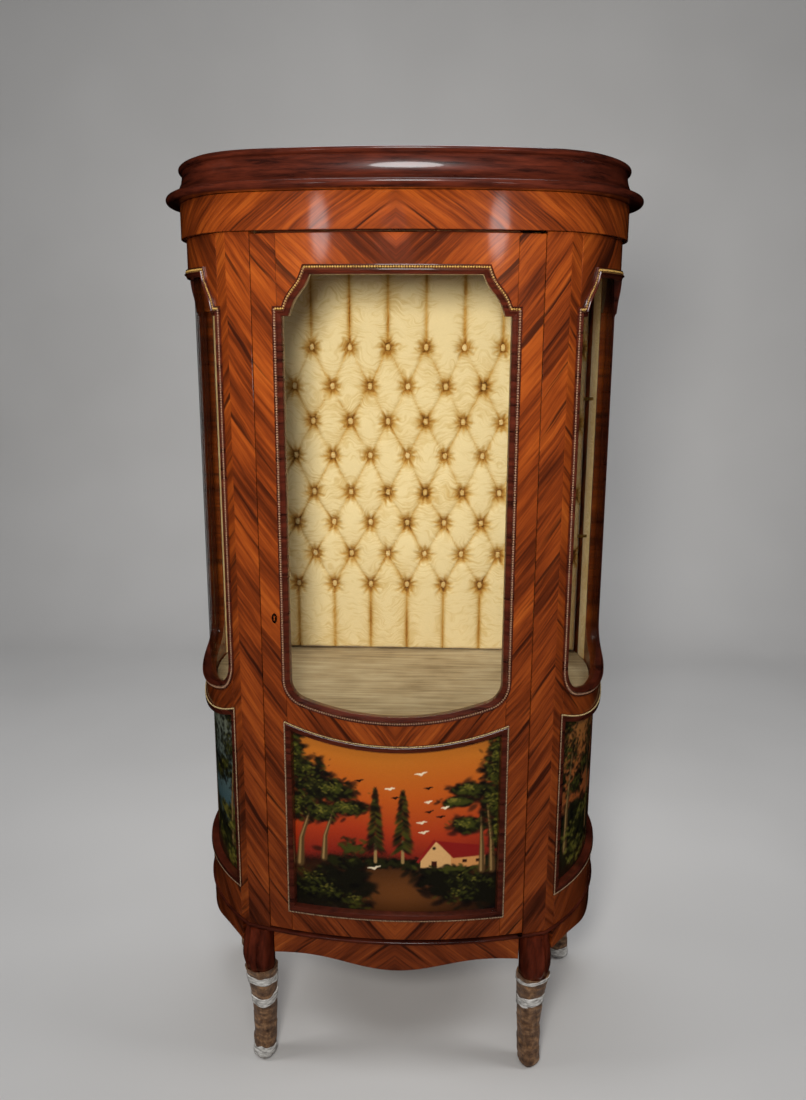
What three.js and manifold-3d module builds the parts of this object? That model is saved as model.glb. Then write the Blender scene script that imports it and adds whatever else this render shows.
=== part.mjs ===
// China cabinet on four legs: a bow-fronted, round-sided display case of curved veneered panels.
// One glazed door hangs on two pivot hinges at the right of the bow, with a fixed curved window at
// each side, painted panels below, a tufted lining at the back and a moulded cornice on top.
// Millimetres, +Z up, the front faces -Y, +X is the cabinet's right as a viewer in front sees it.
// The origin is the middle of the bounding box's base, on the floor.
import * as THREE from "three";
import { mergeVertices } from "three/addons/utils/BufferGeometryUtils.js";
import Module from "manifold-3d";

// ---- Driving dimensions --------------------------------------------------------------------
// Plan of the case face: a shallow bow in front, a corner, then a rounder side to the back.
const FRONT_RADIUS = 880;
const CORNER_HALF_WIDTH = 280;
const SIDE_RADIUS = 370;
const SIDE_CENTRE_X = 30;
const BODY_DEPTH = 430;
const LIP_OVERHANG = 33;
const WALL = 20;
const GAP = 0.4;

// Heights above the floor.
const HEIGHT = 1681;
const LIP_TOP = 1632;
const LIP_BOTTOM = 1617;
const FRIEZE_BOTTOM = 1559;
const DOOR_TOP = 1555;
const WINDOW_TOP = 1499.5;
const SHOULDER = 1435;
const FLOOR_TOP = 730;
const DOOR_BOTTOM = 304;
const BEAD_TOP = 300;
const BEAD_BOTTOM = 294;
const WRAP_TOP = 212;

// Distances along the curved face, from the middle of the bow.
const DOOR_HALF = 240;
const DOOR_GAP = 1.5;
const DOOR_OPENING_HALF = 195.5;
const SIDE_OPENING_START = 312;
const SIDE_OPENING_END = 633;
const CHAMFER_RUN = 36.5;
const SHOULDER_RUN = 14;

// Board and glass thicknesses.
const BOARD = 12;
const GLASS_FRONT = -10;
const GLASS_BACK = -13;
const PANEL_FRONT = -12;
const PANEL_BACK = -16;
const LINING_FRONT_DEPTH = 403;
const LINING_HALF_WIDTH = 360;

// Lock and hinges.
const KEYHOLE_S = -214;
const LOCK_Z = 915;
const PIVOT_RADIUS = 1.8;
const PIVOT_PROUD = 2;
const PIVOT_S = DOOR_HALF - 5;

// ---- Plan curve ----------------------------------------------------------------------------
const FRONT_SWEEP = Math.asin(CORNER_HALF_WIDTH / FRONT_RADIUS);
const CORNER_S = FRONT_RADIUS * FRONT_SWEEP;
const CORNER_DEPTH = FRONT_RADIUS * (1 - Math.cos(FRONT_SWEEP));
const CORNER_DX = CORNER_HALF_WIDTH - SIDE_CENTRE_X;
const SIDE_CENTRE_DEPTH = CORNER_DEPTH + Math.sqrt(SIDE_RADIUS ** 2 - CORNER_DX ** 2);
const SIDE_START = -Math.acos(CORNER_DX / SIDE_RADIUS);
const SIDE_END = Math.asin((BODY_DEPTH - SIDE_CENTRE_DEPTH) / SIDE_RADIUS);
const BACK_S = CORNER_S + SIDE_RADIUS * (SIDE_END - SIDE_START);
const FACE_Y = -(BODY_DEPTH - LIP_OVERHANG) / 2;

// A point of the face curve at length s >= 0 and the direction that points out of it.
function faceAt(s, onSide = s > CORNER_S) {
  if (!onSide) {
    const turn = s / FRONT_RADIUS;
    const out = new THREE.Vector2(Math.sin(turn), -Math.cos(turn));
    const x = FRONT_RADIUS * Math.sin(turn);
    return { point: new THREE.Vector2(x, FRONT_RADIUS * (1 - Math.cos(turn))), out };
  }
  const turn = SIDE_START + (s - CORNER_S) / SIDE_RADIUS;
  const out = new THREE.Vector2(Math.cos(turn), Math.sin(turn));
  const centre = new THREE.Vector2(SIDE_CENTRE_X, SIDE_CENTRE_DEPTH);
  return { point: out.clone().multiplyScalar(SIDE_RADIUS).add(centre), out };
}

// The mitre between the bow's and the side's directions, where the two meet.
const OUT_BOW = faceAt(CORNER_S, false).out;
const OUT_SIDE = faceAt(CORNER_S, true).out;
const CORNER_OUT = OUT_BOW.clone().add(OUT_SIDE).divideScalar(1 + OUT_BOW.dot(OUT_SIDE));

// At the very back an offset runs along the wall, so that every piece ends flush with it.
const OUT_BACK = new THREE.Vector2(1 / Math.cos(SIDE_END), 0);
const SAME_PLACE = 1e-3;

// Bends flat (s, z) onto the face; t is the distance out of it. Negative s is the left half.
function bend(s, z, t) {
  const length = Math.abs(s);
  const side = s < 0 ? -1 : 1;
  const { point, out } = faceAt(length);
  const isCorner = Math.abs(length - CORNER_S) < SAME_PLACE;
  const isBack = Math.abs(length - BACK_S) < SAME_PLACE;
  const away = isCorner ? CORNER_OUT : isBack ? OUT_BACK : out;
  return new THREE.Vector3(side * (point.x + t * away.x), FACE_Y + point.y + t * away.y, z);
}

// The same for the cornice, whose corner is eased to a curve over CORNER_EASE each way.
const CORNER_EASE = 45;
function bendEased(s, z, t) {
  const length = Math.abs(s);
  if (Math.abs(length - CORNER_S) >= CORNER_EASE) return bend(s, z, t);
  const curve = new THREE.QuadraticBezierCurve(
    faceAt(CORNER_S - CORNER_EASE).point,
    faceAt(CORNER_S).point,
    faceAt(CORNER_S + CORNER_EASE).point,
  );
  const u = (length - CORNER_S + CORNER_EASE) / (2 * CORNER_EASE);
  const point = curve.getPoint(u);
  const along = curve.getTangent(u);
  const side = s < 0 ? -1 : 1;
  return new THREE.Vector3(side * (point.x + t * along.y), FACE_Y + point.y - t * along.x, z);
}

// ---- Materials -----------------------------------------------------------------------------
const finish = (color, roughness, metalness = 0) =>
  new THREE.MeshStandardMaterial({ color, roughness, metalness });
const VENEER = finish(0x7a3a14, 0.25);
const DARK_WOOD = finish(0x45160a, 0.2);
const PLAIN_WOOD = finish(0x8c7a5c, 0.6);
const PAINTED = finish(0x6e3a18, 0.35);
const SATIN = finish(0xd8bf80, 0.5);
const BRASS = finish(0xa8905c, 0.35, 1);
const PAPER = finish(0x8a5f38, 0.8);
const GLASS = new THREE.MeshStandardMaterial({
  color: 0xdfe8e6,
  roughness: 0.05,
  transparent: true,
  opacity: 0.3,
});

const cabinet = new THREE.Group();
const door = new THREE.Group();
cabinet.add(door);

function addPiece(name, geometry, material, parent = cabinet) {
  const mesh = new THREE.Mesh(geometry, material);
  mesh.name = name;
  parent.add(mesh);
  return mesh;
}

// ---- Surface makers ------------------------------------------------------------------------
// Joins like outlines, one per section, into a closed body. A ring closes on its first section;
// any other body is capped with the triangles that fill the flat outline.
function loft(sections, flatOutline, isRing = false) {
  const count = sections[0].length;
  const positions = sections.flat().flatMap((p) => [p.x, p.y, p.z]);
  const index = [];
  const spans = isRing ? sections.length : sections.length - 1;
  for (let i = 0; i < spans; i++) {
    const here = i * count;
    const next = ((i + 1) % sections.length) * count;
    for (let j = 0; j < count; j++) {
      const k = (j + 1) % count;
      index.push(here + j, next + j, next + k, here + j, next + k, here + k);
    }
  }
  if (!isRing) {
    const last = (sections.length - 1) * count;
    for (const [a, b, c] of THREE.ShapeUtils.triangulateShape(flatOutline, [])) {
      index.push(a, b, c, last + a, last + c, last + b);
    }
  }
  const geometry = new THREE.BufferGeometry();
  geometry.setAttribute("position", new THREE.Float32BufferAttribute(positions, 3));
  geometry.setIndex(signedVolume(positions, index) < 0 ? index.reverse() : index);
  geometry.computeVertexNormals();
  return geometry;
}

// Six times the volume that the triangles enclose, negative when they face inwards.
function signedVolume(positions, index) {
  const at = (i) => new THREE.Vector3().fromArray(positions, index[i] * 3);
  let sum = 0;
  for (let i = 0; i < index.length; i += 3) sum += at(i).dot(at(i + 1).cross(at(i + 2)));
  return sum;
}

const SQUARE = [[0, 0], [1, 0], [1, 1], [0, 1]].map(([x, y]) => new THREE.Vector2(x, y));

// Lengths from a to b, evenly spaced and no further apart than step.
function spread(a, b, step) {
  const count = Math.max(1, Math.ceil(Math.abs(b - a) / step));
  return Array.from({ length: count + 1 }, (_, i) => a + ((b - a) * i) / count);
}

// Lengths along the face from a to b, closer on the round side, with the corner where passed.
const BOW_STEP = 48;
const SIDE_STEP = 36;
function stations(a, b, extra = []) {
  const onFace = [-BACK_S, -CORNER_S, CORNER_S, BACK_S].filter((s) => s > a && s < b);
  const ends = [a, ...onFace, b];
  const all = ends.slice(1).flatMap((end, i) => {
    const isBow = Math.abs(ends[i] + end) / 2 < CORNER_S;
    return spread(ends[i], end, isBow ? BOW_STEP : SIDE_STEP);
  });
  const kept = [...all, ...extra.filter((s) => s > a && s < b)].sort((p, q) => p - q);
  return kept.filter((s, i) => i === 0 || s - kept[i - 1] > SAME_PLACE);
}

// A curved board between two heights that may vary along the face.
function curvedBoard(lengths, low, high, inner, outer) {
  const sections = lengths.map((s) => [
    bend(s, low(s), outer),
    bend(s, high(s), outer),
    bend(s, high(s), inner),
    bend(s, low(s), inner),
  ]);
  return loft(sections, SQUARE);
}

// A moulding of one profile, a list of [t, z], run along the face.
function runMoulding(profile, lengths, place = bend) {
  const outline = profile.map(([t, z]) => new THREE.Vector2(t, z));
  return loft(lengths.map((s) => profile.map(([t, z]) => place(s, z, t))), outline);
}

// A frame moulding round a closed path of (s, z) points. Each profile point is [a, t]: a is
// outwards across the face from the path, t is out of the face.
function frameMoulding(path, profile) {
  const turnsLeft = THREE.ShapeUtils.area(path) > 0 ? 1 : -1;
  const edgeOut = (p, q) => new THREE.Vector2(q.y - p.y, p.x - q.x).normalize().multiplyScalar(turnsLeft);
  const sections = path.map((p, i) => {
    const before = edgeOut(path.at(i - 1), p);
    const after = edgeOut(p, path[(i + 1) % path.length]);
    const mitre = before.clone().add(after).divideScalar(1 + before.dot(after));
    return profile.map(([a, t]) => bend(p.x + a * mitre.x, p.y + a * mitre.y, t));
  });
  return loft(sections, null, true);
}

// Lengths right round the case for the cornice, whose eased corner needs a few more.
const easing = [-1, 1].flatMap((side) =>
  [-1, -0.33, 0.33, 1].map((part) => side * CORNER_S + part * CORNER_EASE),
);
const roundCase = stations(-BACK_S, BACK_S);
const roundCornice = stations(-BACK_S, BACK_S, easing);

// A flat board whose edge follows the face at distance t and is straight along the back.
function curvedPlate(t, backDepth, low, high, lengths = roundCase, place = bend) {
  const edge = lengths.map((s) => place(s, 0, t));
  const inFront = edge.filter((p) => p.y < FACE_Y + backDepth - 1);
  const run = Math.sqrt((SIDE_RADIUS + t) ** 2 - (backDepth - SIDE_CENTRE_DEPTH) ** 2);
  const cornerX = SIDE_CENTRE_X + run;
  const outline = [
    ...inFront.map((p) => new THREE.Vector2(p.x, p.y)),
    new THREE.Vector2(cornerX, FACE_Y + backDepth),
    new THREE.Vector2(-cornerX, FACE_Y + backDepth),
  ];
  const geometry = new THREE.ExtrudeGeometry(new THREE.Shape(outline), {
    depth: high - low,
    bevelEnabled: false,
  });
  return geometry.translate(0, 0, low);
}

function block(x0, x1, y0, y1, z0, z1) {
  const geometry = new THREE.BoxGeometry(x1 - x0, y1 - y0, z1 - z0);
  return geometry.translate((x0 + x1) / 2, (y0 + y1) / 2, (z0 + z1) / 2);
}

// Turns and moves a small fitting so that its own x runs along the face and its own y inwards.
function fitToFace(mesh, s, z, t) {
  const here = bend(s, z, t);
  const ahead = bend(s + 0.5, z, t).sub(bend(s - 0.5, z, t));
  mesh.position.copy(here);
  mesh.rotation.z = Math.atan2(ahead.y, ahead.x);
  return mesh;
}

// ---- Joins and cuts ------------------------------------------------------------------------
const solids = await Module();
solids.setup();

function toSolid(geometry) {
  const bare = geometry.clone();
  bare.deleteAttribute("normal");
  bare.deleteAttribute("uv");
  const merged = mergeVertices(bare, 1e-4);
  const vertProperties = new Float32Array(merged.attributes.position.array);
  const triVerts = new Uint32Array(merged.index.array);
  return new solids.Manifold(new solids.Mesh({ numProp: 3, vertProperties, triVerts }));
}

function toGeometry(solid) {
  const mesh = solid.getMesh();
  const geometry = new THREE.BufferGeometry();
  geometry.setAttribute("position", new THREE.BufferAttribute(mesh.vertProperties, 3));
  geometry.setIndex(new THREE.BufferAttribute(mesh.triVerts, 1));
  geometry.computeVertexNormals();
  return geometry;
}

const union = (a, b) => toGeometry(toSolid(a).add(toSolid(b)));
const subtract = (a, b) => toGeometry(toSolid(a).subtract(toSolid(b)));

// ---- Openings ------------------------------------------------------------------------------
// An opening is { middle, half, sill, sillRadius, cornerRadius } for glass and
// { middle, half, foot, crown, corner } for a painted panel, all along the face and up.
const DOOR_WINDOW = {
  middle: 0,
  half: DOOR_OPENING_HALF,
  sill: 737,
  sillRadius: 545,
  cornerRadius: 42,
};
const SIDE_MIDDLE = (SIDE_OPENING_START + SIDE_OPENING_END) / 2;
const SIDE_HALF = (SIDE_OPENING_END - SIDE_OPENING_START) / 2;
const SIDE_WINDOW = {
  middle: SIDE_MIDDLE,
  half: SIDE_HALF,
  sill: 743,
  sillRadius: 400,
  cornerRadius: 58,
};
const DOOR_PANEL = { middle: 0, half: DOOR_OPENING_HALF, foot: 349.5, crown: 684.5, corner: 717 };
const SIDE_PANEL = { middle: SIDE_MIDDLE, half: SIDE_HALF, foot: 374, crown: 693.5, corner: 724 };

// Height of a window's top at u from its middle: flat, a chamfer, then a level shoulder.
function windowHead({ half }, u) {
  const flatEnd = half - SHOULDER_RUN - CHAMFER_RUN;
  const down = THREE.MathUtils.clamp((u - flatEnd) / CHAMFER_RUN, 0, 1);
  return WINDOW_TOP + (SHOULDER - WINDOW_TOP) * down;
}

// Height of a window's sill at u from its middle: a shallow bowl that turns up into each side.
function windowSill({ half, sill, sillRadius, cornerRadius }, u) {
  const reach = half - cornerRadius;
  const between = sillRadius - cornerRadius;
  if (u < (reach * sillRadius) / between) {
    return sill + sillRadius - Math.sqrt(sillRadius ** 2 - u ** 2);
  }
  const cornerHeight = sill + sillRadius - Math.sqrt(between ** 2 - reach ** 2);
  return cornerHeight - Math.sqrt(Math.max(0, cornerRadius ** 2 - (u - reach) ** 2));
}

// Height of a painted panel's top at u from its middle: an arc that hangs between the corners.
function panelHead({ half, crown, corner }, u) {
  const rise = corner - crown;
  const radius = (half ** 2 + rise ** 2) / (2 * rise);
  return crown + radius - Math.sqrt(radius ** 2 - u ** 2);
}

// Lengths along the face across one bay. Its window, panel and rails all use the same ones, so
// that their edges stay parallel: they include every bend of the window's outline.
const SILL_TURNS = [0.3, 0.6, 0.85];
function acrossBay({ middle, half, cornerRadius }) {
  const shoulder = half - SHOULDER_RUN;
  const sillBends = SILL_TURNS.map((part) => half - cornerRadius * (1 - part));
  const bends = [shoulder - CHAMFER_RUN, shoulder, ...sillBends];
  const both = bends.flatMap((u) => [middle - u, middle + u]);
  return stations(middle - half, middle + half, both);
}
const fromMiddle = (opening, s) => Math.min(opening.half, Math.abs(s - opening.middle));

// The closed path round an opening, from its lower left.
function pathRound(opening, lengths, low, high) {
  const at = (height) => (s) => new THREE.Vector2(s, height(fromMiddle(opening, s)));
  return [...lengths.map(at(low)), ...lengths.map(at(high)).reverse()];
}

// Sections of the mouldings. Both lap the frame's face and line the opening.
const WINDOW_MOULDING = [
  [7.8, GAP], [7.8, 3.4], [-1, 6.5], [-8, 1],
  [-8, GLASS_FRONT + GAP], [-GAP, GLASS_FRONT + GAP], [-GAP, GAP],
];
const PANEL_MOULDING = [
  [6.5, GAP], [6.5, 3.2], [-6.5, 3],
  [-6.5, PANEL_FRONT + GAP], [-GAP, PANEL_FRONT + GAP], [-GAP, GAP],
];
const PANE_INSET = 1;

// A board or pane that lies inside an opening, clear of its edges all round.
function paneIn(opening, lengths, low, high, back, front) {
  const shrink = (opening.half - PANE_INSET) / opening.half;
  const sections = lengths.map((s) => {
    const u = fromMiddle(opening, s);
    const place = opening.middle + (s - opening.middle) * shrink;
    const bottom = low(u) + PANE_INSET;
    const top = high(u) - PANE_INSET;
    return [[bottom, front], [top, front], [top, back], [bottom, back]].map(([z, t]) => bend(place, z, t));
  });
  return loft(sections, SQUARE);
}

// Glass, moulding and painted panel of one bay: the same pieces in the door and at each side.
function fillBay(prefix, window, panel, parent) {
  const lengths = acrossBay(window);
  const sill = (u) => windowSill(window, u);
  const head = (u) => windowHead(window, u);
  const foot = () => panel.foot;
  const arch = (u) => panelHead(panel, u);
  const pane = paneIn(window, lengths, sill, head, GLASS_BACK, GLASS_FRONT);
  addPiece(prefix + "_glass", pane, GLASS, parent);
  const surround = frameMoulding(pathRound(window, lengths, sill, head), WINDOW_MOULDING);
  addPiece(prefix + "_glass_moulding", surround, DARK_WOOD, parent);
  const board = paneIn(panel, lengths, foot, arch, PANEL_BACK, PANEL_FRONT);
  addPiece(prefix + "_painted_panel", board, PAINTED, parent);
  const edging = frameMoulding(pathRound(panel, lengths, foot, arch), PANEL_MOULDING);
  addPiece(prefix + "_panel_moulding", edging, DARK_WOOD, parent);
}

// ---- Door ----------------------------------------------------------------------------------
for (const [word, side] of [["left", -1], ["right", 1]]) {
  const ends = [side * (DOOR_OPENING_HALF + GAP), side * DOOR_HALF].sort((a, b) => a - b);
  const stile = curvedBoard(stations(...ends), () => DOOR_BOTTOM, () => DOOR_TOP, -WALL, 0);
  addPiece("door_" + word + "_stile", stile, VENEER, door);
}
const doorHead = (s) => windowHead(DOOR_WINDOW, Math.abs(s));
const doorSill = (s) => windowSill(DOOR_WINDOW, Math.abs(s));
const doorPanelHead = (s) => panelHead(DOOR_PANEL, Math.abs(s));
const doorRails = [
  ["door_top_rail", doorHead, () => DOOR_TOP],
  ["door_middle_rail", doorPanelHead, doorSill],
  ["door_bottom_rail", () => DOOR_BOTTOM, () => DOOR_PANEL.foot],
];
for (const [name, low, high] of doorRails) {
  addPiece(name, curvedBoard(acrossBay(DOOR_WINDOW), low, high, -WALL, 0), VENEER, door);
}
fillBay("door", DOOR_WINDOW, DOOR_PANEL, door);

// ---- Case frame ----------------------------------------------------------------------------
// Mirrors a run of lengths to the left half, still in rising order.
const onHalf = (side, lengths) => (side > 0 ? lengths : lengths.map((s) => -s).reverse());
const caseTop = () => FRIEZE_BOTTOM - GAP;
const caseFoot = () => BEAD_TOP + GAP;

for (const [word, side] of [["left", -1], ["right", 1]]) {
  const posts = [
    ["_front_stile", DOOR_HALF + DOOR_GAP, SIDE_OPENING_START - GAP],
    ["_rear_stile", SIDE_OPENING_END + GAP, BACK_S],
  ];
  for (const [name, from, to] of posts) {
    const lengths = onHalf(side, stations(from, to));
    addPiece(word + name, curvedBoard(lengths, caseFoot, caseTop, -WALL, 0), VENEER);
  }
  const window = { ...SIDE_WINDOW, middle: side * SIDE_MIDDLE };
  const panel = { ...SIDE_PANEL, middle: side * SIDE_MIDDLE };
  const head = (s) => windowHead(window, fromMiddle(window, s));
  const sill = (s) => windowSill(window, fromMiddle(window, s));
  const arch = (s) => panelHead(panel, fromMiddle(panel, s));
  const rails = [
    ["_top_rail", head, caseTop],
    ["_belt_rail", arch, sill],
    ["_base_rail", caseFoot, () => panel.foot],
  ];
  for (const [name, low, high] of rails) {
    addPiece(word + "_side" + name, curvedBoard(acrossBay(window), low, high, -WALL, 0), VENEER);
  }
  fillBay(word + "_side", window, panel, cabinet);
}

// ---- Boards, lining and shelf pegs ---------------------------------------------------------
const INSIDE = -WALL - 2 * GAP;
const BEHIND_DOOR = -WALL - 2;
const BACK_THICKNESS = 10;
const BACK_FRONT_DEPTH = BODY_DEPTH - BACK_THICKNESS;
const boardBack = BACK_FRONT_DEPTH - GAP;
const baseBoard = curvedPlate(INSIDE, boardBack, BEAD_BOTTOM, DOOR_BOTTOM - 0.5);
addPiece("base_board", baseBoard, PLAIN_WOOD);
const displayFloor = curvedPlate(BEHIND_DOOR, boardBack, FLOOR_TOP - BOARD, FLOOR_TOP);
addPiece("display_floor", displayFloor, PLAIN_WOOD);
const crownPlate = (low, high) => curvedPlate(INSIDE, boardBack, low, high, roundCornice, bendEased);
addPiece("top_board", crownPlate(FRIEZE_BOTTOM + GAP, FRIEZE_BOTTOM + BOARD), PLAIN_WOOD);
const CROWN_BOARD_BOTTOM = HEIGHT - 14;
const CROWN_THICKNESS = 9;
const crownBoard = crownPlate(CROWN_BOARD_BOTTOM, CROWN_BOARD_BOTTOM + CROWN_THICKNESS);
addPiece("crown_board", crownBoard, PLAIN_WOOD);
const backBoard = block(
  -LINING_HALF_WIDTH, LINING_HALF_WIDTH,
  FACE_Y + BACK_FRONT_DEPTH, FACE_Y + BODY_DEPTH,
  BEAD_BOTTOM, CROWN_BOARD_BOTTOM - GAP,
);
addPiece("back_board", backBoard, PLAIN_WOOD);
const lining = block(
  -LINING_HALF_WIDTH, LINING_HALF_WIDTH,
  FACE_Y + LINING_FRONT_DEPTH, FACE_Y + BACK_FRONT_DEPTH - GAP,
  FLOOR_TOP + GAP, FRIEZE_BOTTOM - GAP,
);
addPiece("tufted_lining", lining, SATIN);

const PEG_HEIGHTS = { upper: 1270, lower: 992 };
const PEG_LENGTH = 21;
const PEG_RADIUS = 3;
const PEG_BEHIND_OPENING = 18;
const PEG_MIDDLE = -WALL - 2 * GAP - PEG_LENGTH / 2;
for (const [word, side] of [["left", -1], ["right", 1]]) {
  for (const [level, z] of Object.entries(PEG_HEIGHTS)) {
    const peg = new THREE.CylinderGeometry(PEG_RADIUS, PEG_RADIUS, PEG_LENGTH, 10);
    const mesh = addPiece("shelf_peg_" + word + "_" + level, peg, BRASS);
    fitToFace(mesh, side * (SIDE_OPENING_END + PEG_BEHIND_OPENING), z, PEG_MIDDLE);
  }
}

// ---- Cornice, frieze, bead and apron -------------------------------------------------------
const FRIEZE_PROUD = 9;
const frieze = [
  [-WALL, FRIEZE_BOTTOM], [FRIEZE_PROUD, FRIEZE_BOTTOM],
  [FRIEZE_PROUD, LIP_BOTTOM], [-WALL, LIP_BOTTOM],
];
const lip = [
  [-WALL, LIP_BOTTOM + GAP], [25, LIP_BOTTOM + GAP],
  [30.6, LIP_BOTTOM + 2.5], [LIP_OVERHANG, LIP_BOTTOM + 7.5],
  [30.6, LIP_TOP - 2.5], [25, LIP_TOP], [-WALL, LIP_TOP],
];
const cove = [
  [-WALL, LIP_TOP + GAP], [24, LIP_TOP + GAP], [14, LIP_TOP + 5], [7, LIP_TOP + 13], [3.5, LIP_TOP + 24],
  [3, HEIGHT - 10], [8, HEIGHT - 8.5], [9, HEIGHT - 4.5], [7.5, HEIGHT], [-WALL, HEIGHT],
];
addPiece("frieze", runMoulding(frieze, roundCornice, bendEased), VENEER);
addPiece("cornice_lip", runMoulding(lip, roundCornice, bendEased), DARK_WOOD);
addPiece("cornice_cove", runMoulding(cove, roundCornice, bendEased), DARK_WOOD);

const bead = [
  [-WALL, BEAD_BOTTOM], [2, BEAD_BOTTOM], [3.5, BEAD_BOTTOM + 3], [2, BEAD_TOP], [-WALL, BEAD_TOP],
];
addPiece("base_bead", runMoulding(bead, roundCase), DARK_WOOD);

// The apron's lower edge is a wave, deepest in the middle of each run.
const APRON_MEAN = 248;
const APRON_SWING = 9.5;
const FRONT_WAVE = 320;
const SIDE_WAVE = 250;
const apronTop = () => BEAD_BOTTOM - GAP;
const apronEdge = (middle, wave) => (s) =>
  APRON_MEAN - APRON_SWING * Math.cos((2 * Math.PI * (s - middle)) / wave);
const FRONT_APRON_HALF = 224;
const FRONT_APRON_STEP = 28;
const frontLengths = spread(-FRONT_APRON_HALF, FRONT_APRON_HALF, FRONT_APRON_STEP);
const frontApron = curvedBoard(frontLengths, apronEdge(0, FRONT_WAVE), apronTop, -WALL, 0);
addPiece("front_apron", frontApron, VENEER);
const SIDE_APRON = { from: 318, to: 640 };
for (const [word, side] of [["left", -1], ["right", 1]]) {
  const lengths = onHalf(side, stations(SIDE_APRON.from, SIDE_APRON.to));
  const middle = (side * (SIDE_APRON.from + SIDE_APRON.to)) / 2;
  const sideApron = curvedBoard(lengths, apronEdge(middle, SIDE_WAVE), apronTop, -WALL, 0);
  addPiece(word + "_side_apron", sideApron, VENEER);
}

// ---- Legs and their wraps ------------------------------------------------------------------
// Each leg is a stack of rounded squares turned to the corner: [height, half width, sway out].
const LEG_SIDES = 16;
const LEG_SECTIONS = [
  [4, 11, 5], [25, 14.5, 3], [80, 15.5, 0], [140, 18, 1], [200, 24, 7],
  [235, 27.5, 12], [265, 27.5, 9], [BEAD_BOTTOM - GAP, 25, 0],
];
const WRAP_SECTIONS = [
  [0, 13, 5], [6, 17, 5], [25, 19, 3], [80, 20, 0], [140, 22.5, 1], [185, 27, 5], [WRAP_TOP, 29.5, 8.5],
];
const WRAP_THICKNESS = 2.2;
const WRAP_FLOOR = 3;
const SQUARENESS = 3;

function legRing(centre, outwards, height, half, sway) {
  const turned = Math.atan2(outwards.y, outwards.x);
  const middle = centre.clone().addScaledVector(outwards, sway);
  return Array.from({ length: LEG_SIDES }, (_, i) => {
    const angle = (2 * Math.PI * (i + 0.5)) / LEG_SIDES;
    const power = Math.abs(Math.cos(angle)) ** SQUARENESS + Math.abs(Math.sin(angle)) ** SQUARENESS;
    const reach = half * power ** (-1 / SQUARENESS);
    const x = middle.x + reach * Math.cos(angle + turned);
    return new THREE.Vector3(x, middle.y + reach * Math.sin(angle + turned), height);
  });
}
const ringOutline = legRing(new THREE.Vector2(), new THREE.Vector2(1, 0), 0, 1, 0);

function addLeg(name, centre, outwards) {
  const rings = LEG_SECTIONS.map(([z, half, sway]) => legRing(centre, outwards, z, half, sway));
  addPiece(name + "_leg", loft(rings, ringOutline), DARK_WOOD);
  const outer = WRAP_SECTIONS.map(([z, half, sway]) => legRing(centre, outwards, z, half, sway));
  const inner = WRAP_SECTIONS.slice(1).map(([z, half, sway], i) => {
    const height = i === 0 ? WRAP_FLOOR : z;
    return legRing(centre, outwards, height, half - WRAP_THICKNESS, sway);
  });
  addPiece(name + "_leg_wrap", loft([...outer, ...inner.reverse()], ringOutline), PAPER);
}

const CORNER_LEG = new THREE.Vector2(258, FACE_Y + 60);
const REAR_LEG = new THREE.Vector2(352, FACE_Y + 396);
for (const [word, side] of [["left", -1], ["right", 1]]) {
  const mirrored = (v) => new THREE.Vector2(side * v.x, v.y);
  addLeg(word + "_front", mirrored(CORNER_LEG), mirrored(CORNER_OUT).normalize());
  addLeg(word + "_rear", mirrored(REAR_LEG), mirrored(new THREE.Vector2(1, 0.12)).normalize());
}

// ---- Pivot hinges --------------------------------------------------------------------------
// Each is a pair of flat leaves stacked in the gap at an end of the door: one on the door, and
// one on the case whose pin passes through the eye of the first, just proud of the face.
const LEAF_LENGTH = 34;
const LEAF_WIDTH = 10;
const LEAF_THICKNESS = 1.2;
const EYE_RADIUS = 4.2;
const RUNNING_CLEARANCE = 0.1;

// Points of an arc about (x, y), with no repeated end on a full turn.
function arcPoints(x, y, radius, from, to, count) {
  const isFull = Math.abs(to - from) > 2 * Math.PI - 1e-6;
  const steps = isFull ? count : count + 1;
  return Array.from({ length: steps }, (_, i) => {
    const angle = from + ((to - from) * i) / count;
    return new THREE.Vector2(x + radius * Math.cos(angle), y + radius * Math.sin(angle));
  });
}

// A leaf reaches from the pivot back over the wall, then along it away from the seam.
function leafShape() {
  const depth = PIVOT_PROUD + WALL / 2;
  const eye = arcPoints(0, 0, EYE_RADIUS, Math.PI, 2 * Math.PI, 8);
  const arm = [
    [EYE_RADIUS, depth + LEAF_WIDTH / 2],
    [-LEAF_LENGTH, depth + LEAF_WIDTH / 2],
    [-LEAF_LENGTH, depth - LEAF_WIDTH / 2],
    [-EYE_RADIUS, depth - LEAF_WIDTH / 2],
  ];
  return new THREE.Shape([...eye, ...arm.map(([x, y]) => new THREE.Vector2(x, y))]);
}
const leafBody = (shape) =>
  new THREE.ExtrudeGeometry(shape, { depth: LEAF_THICKNESS, bevelEnabled: false });

// The case leaf with its pin, which points down (up = 1) or up (up = -1) towards the door.
function pinnedLeaf(up) {
  const pinLength = 2.6 * LEAF_THICKNESS;
  const pin = new THREE.CylinderGeometry(PIVOT_RADIUS, PIVOT_RADIUS, pinLength, 20);
  pin.rotateX(Math.PI / 2);
  pin.translate(0, 0, LEAF_THICKNESS / 2 - (up * pinLength) / 2);
  return union(leafBody(leafShape()), pin);
}

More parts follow.
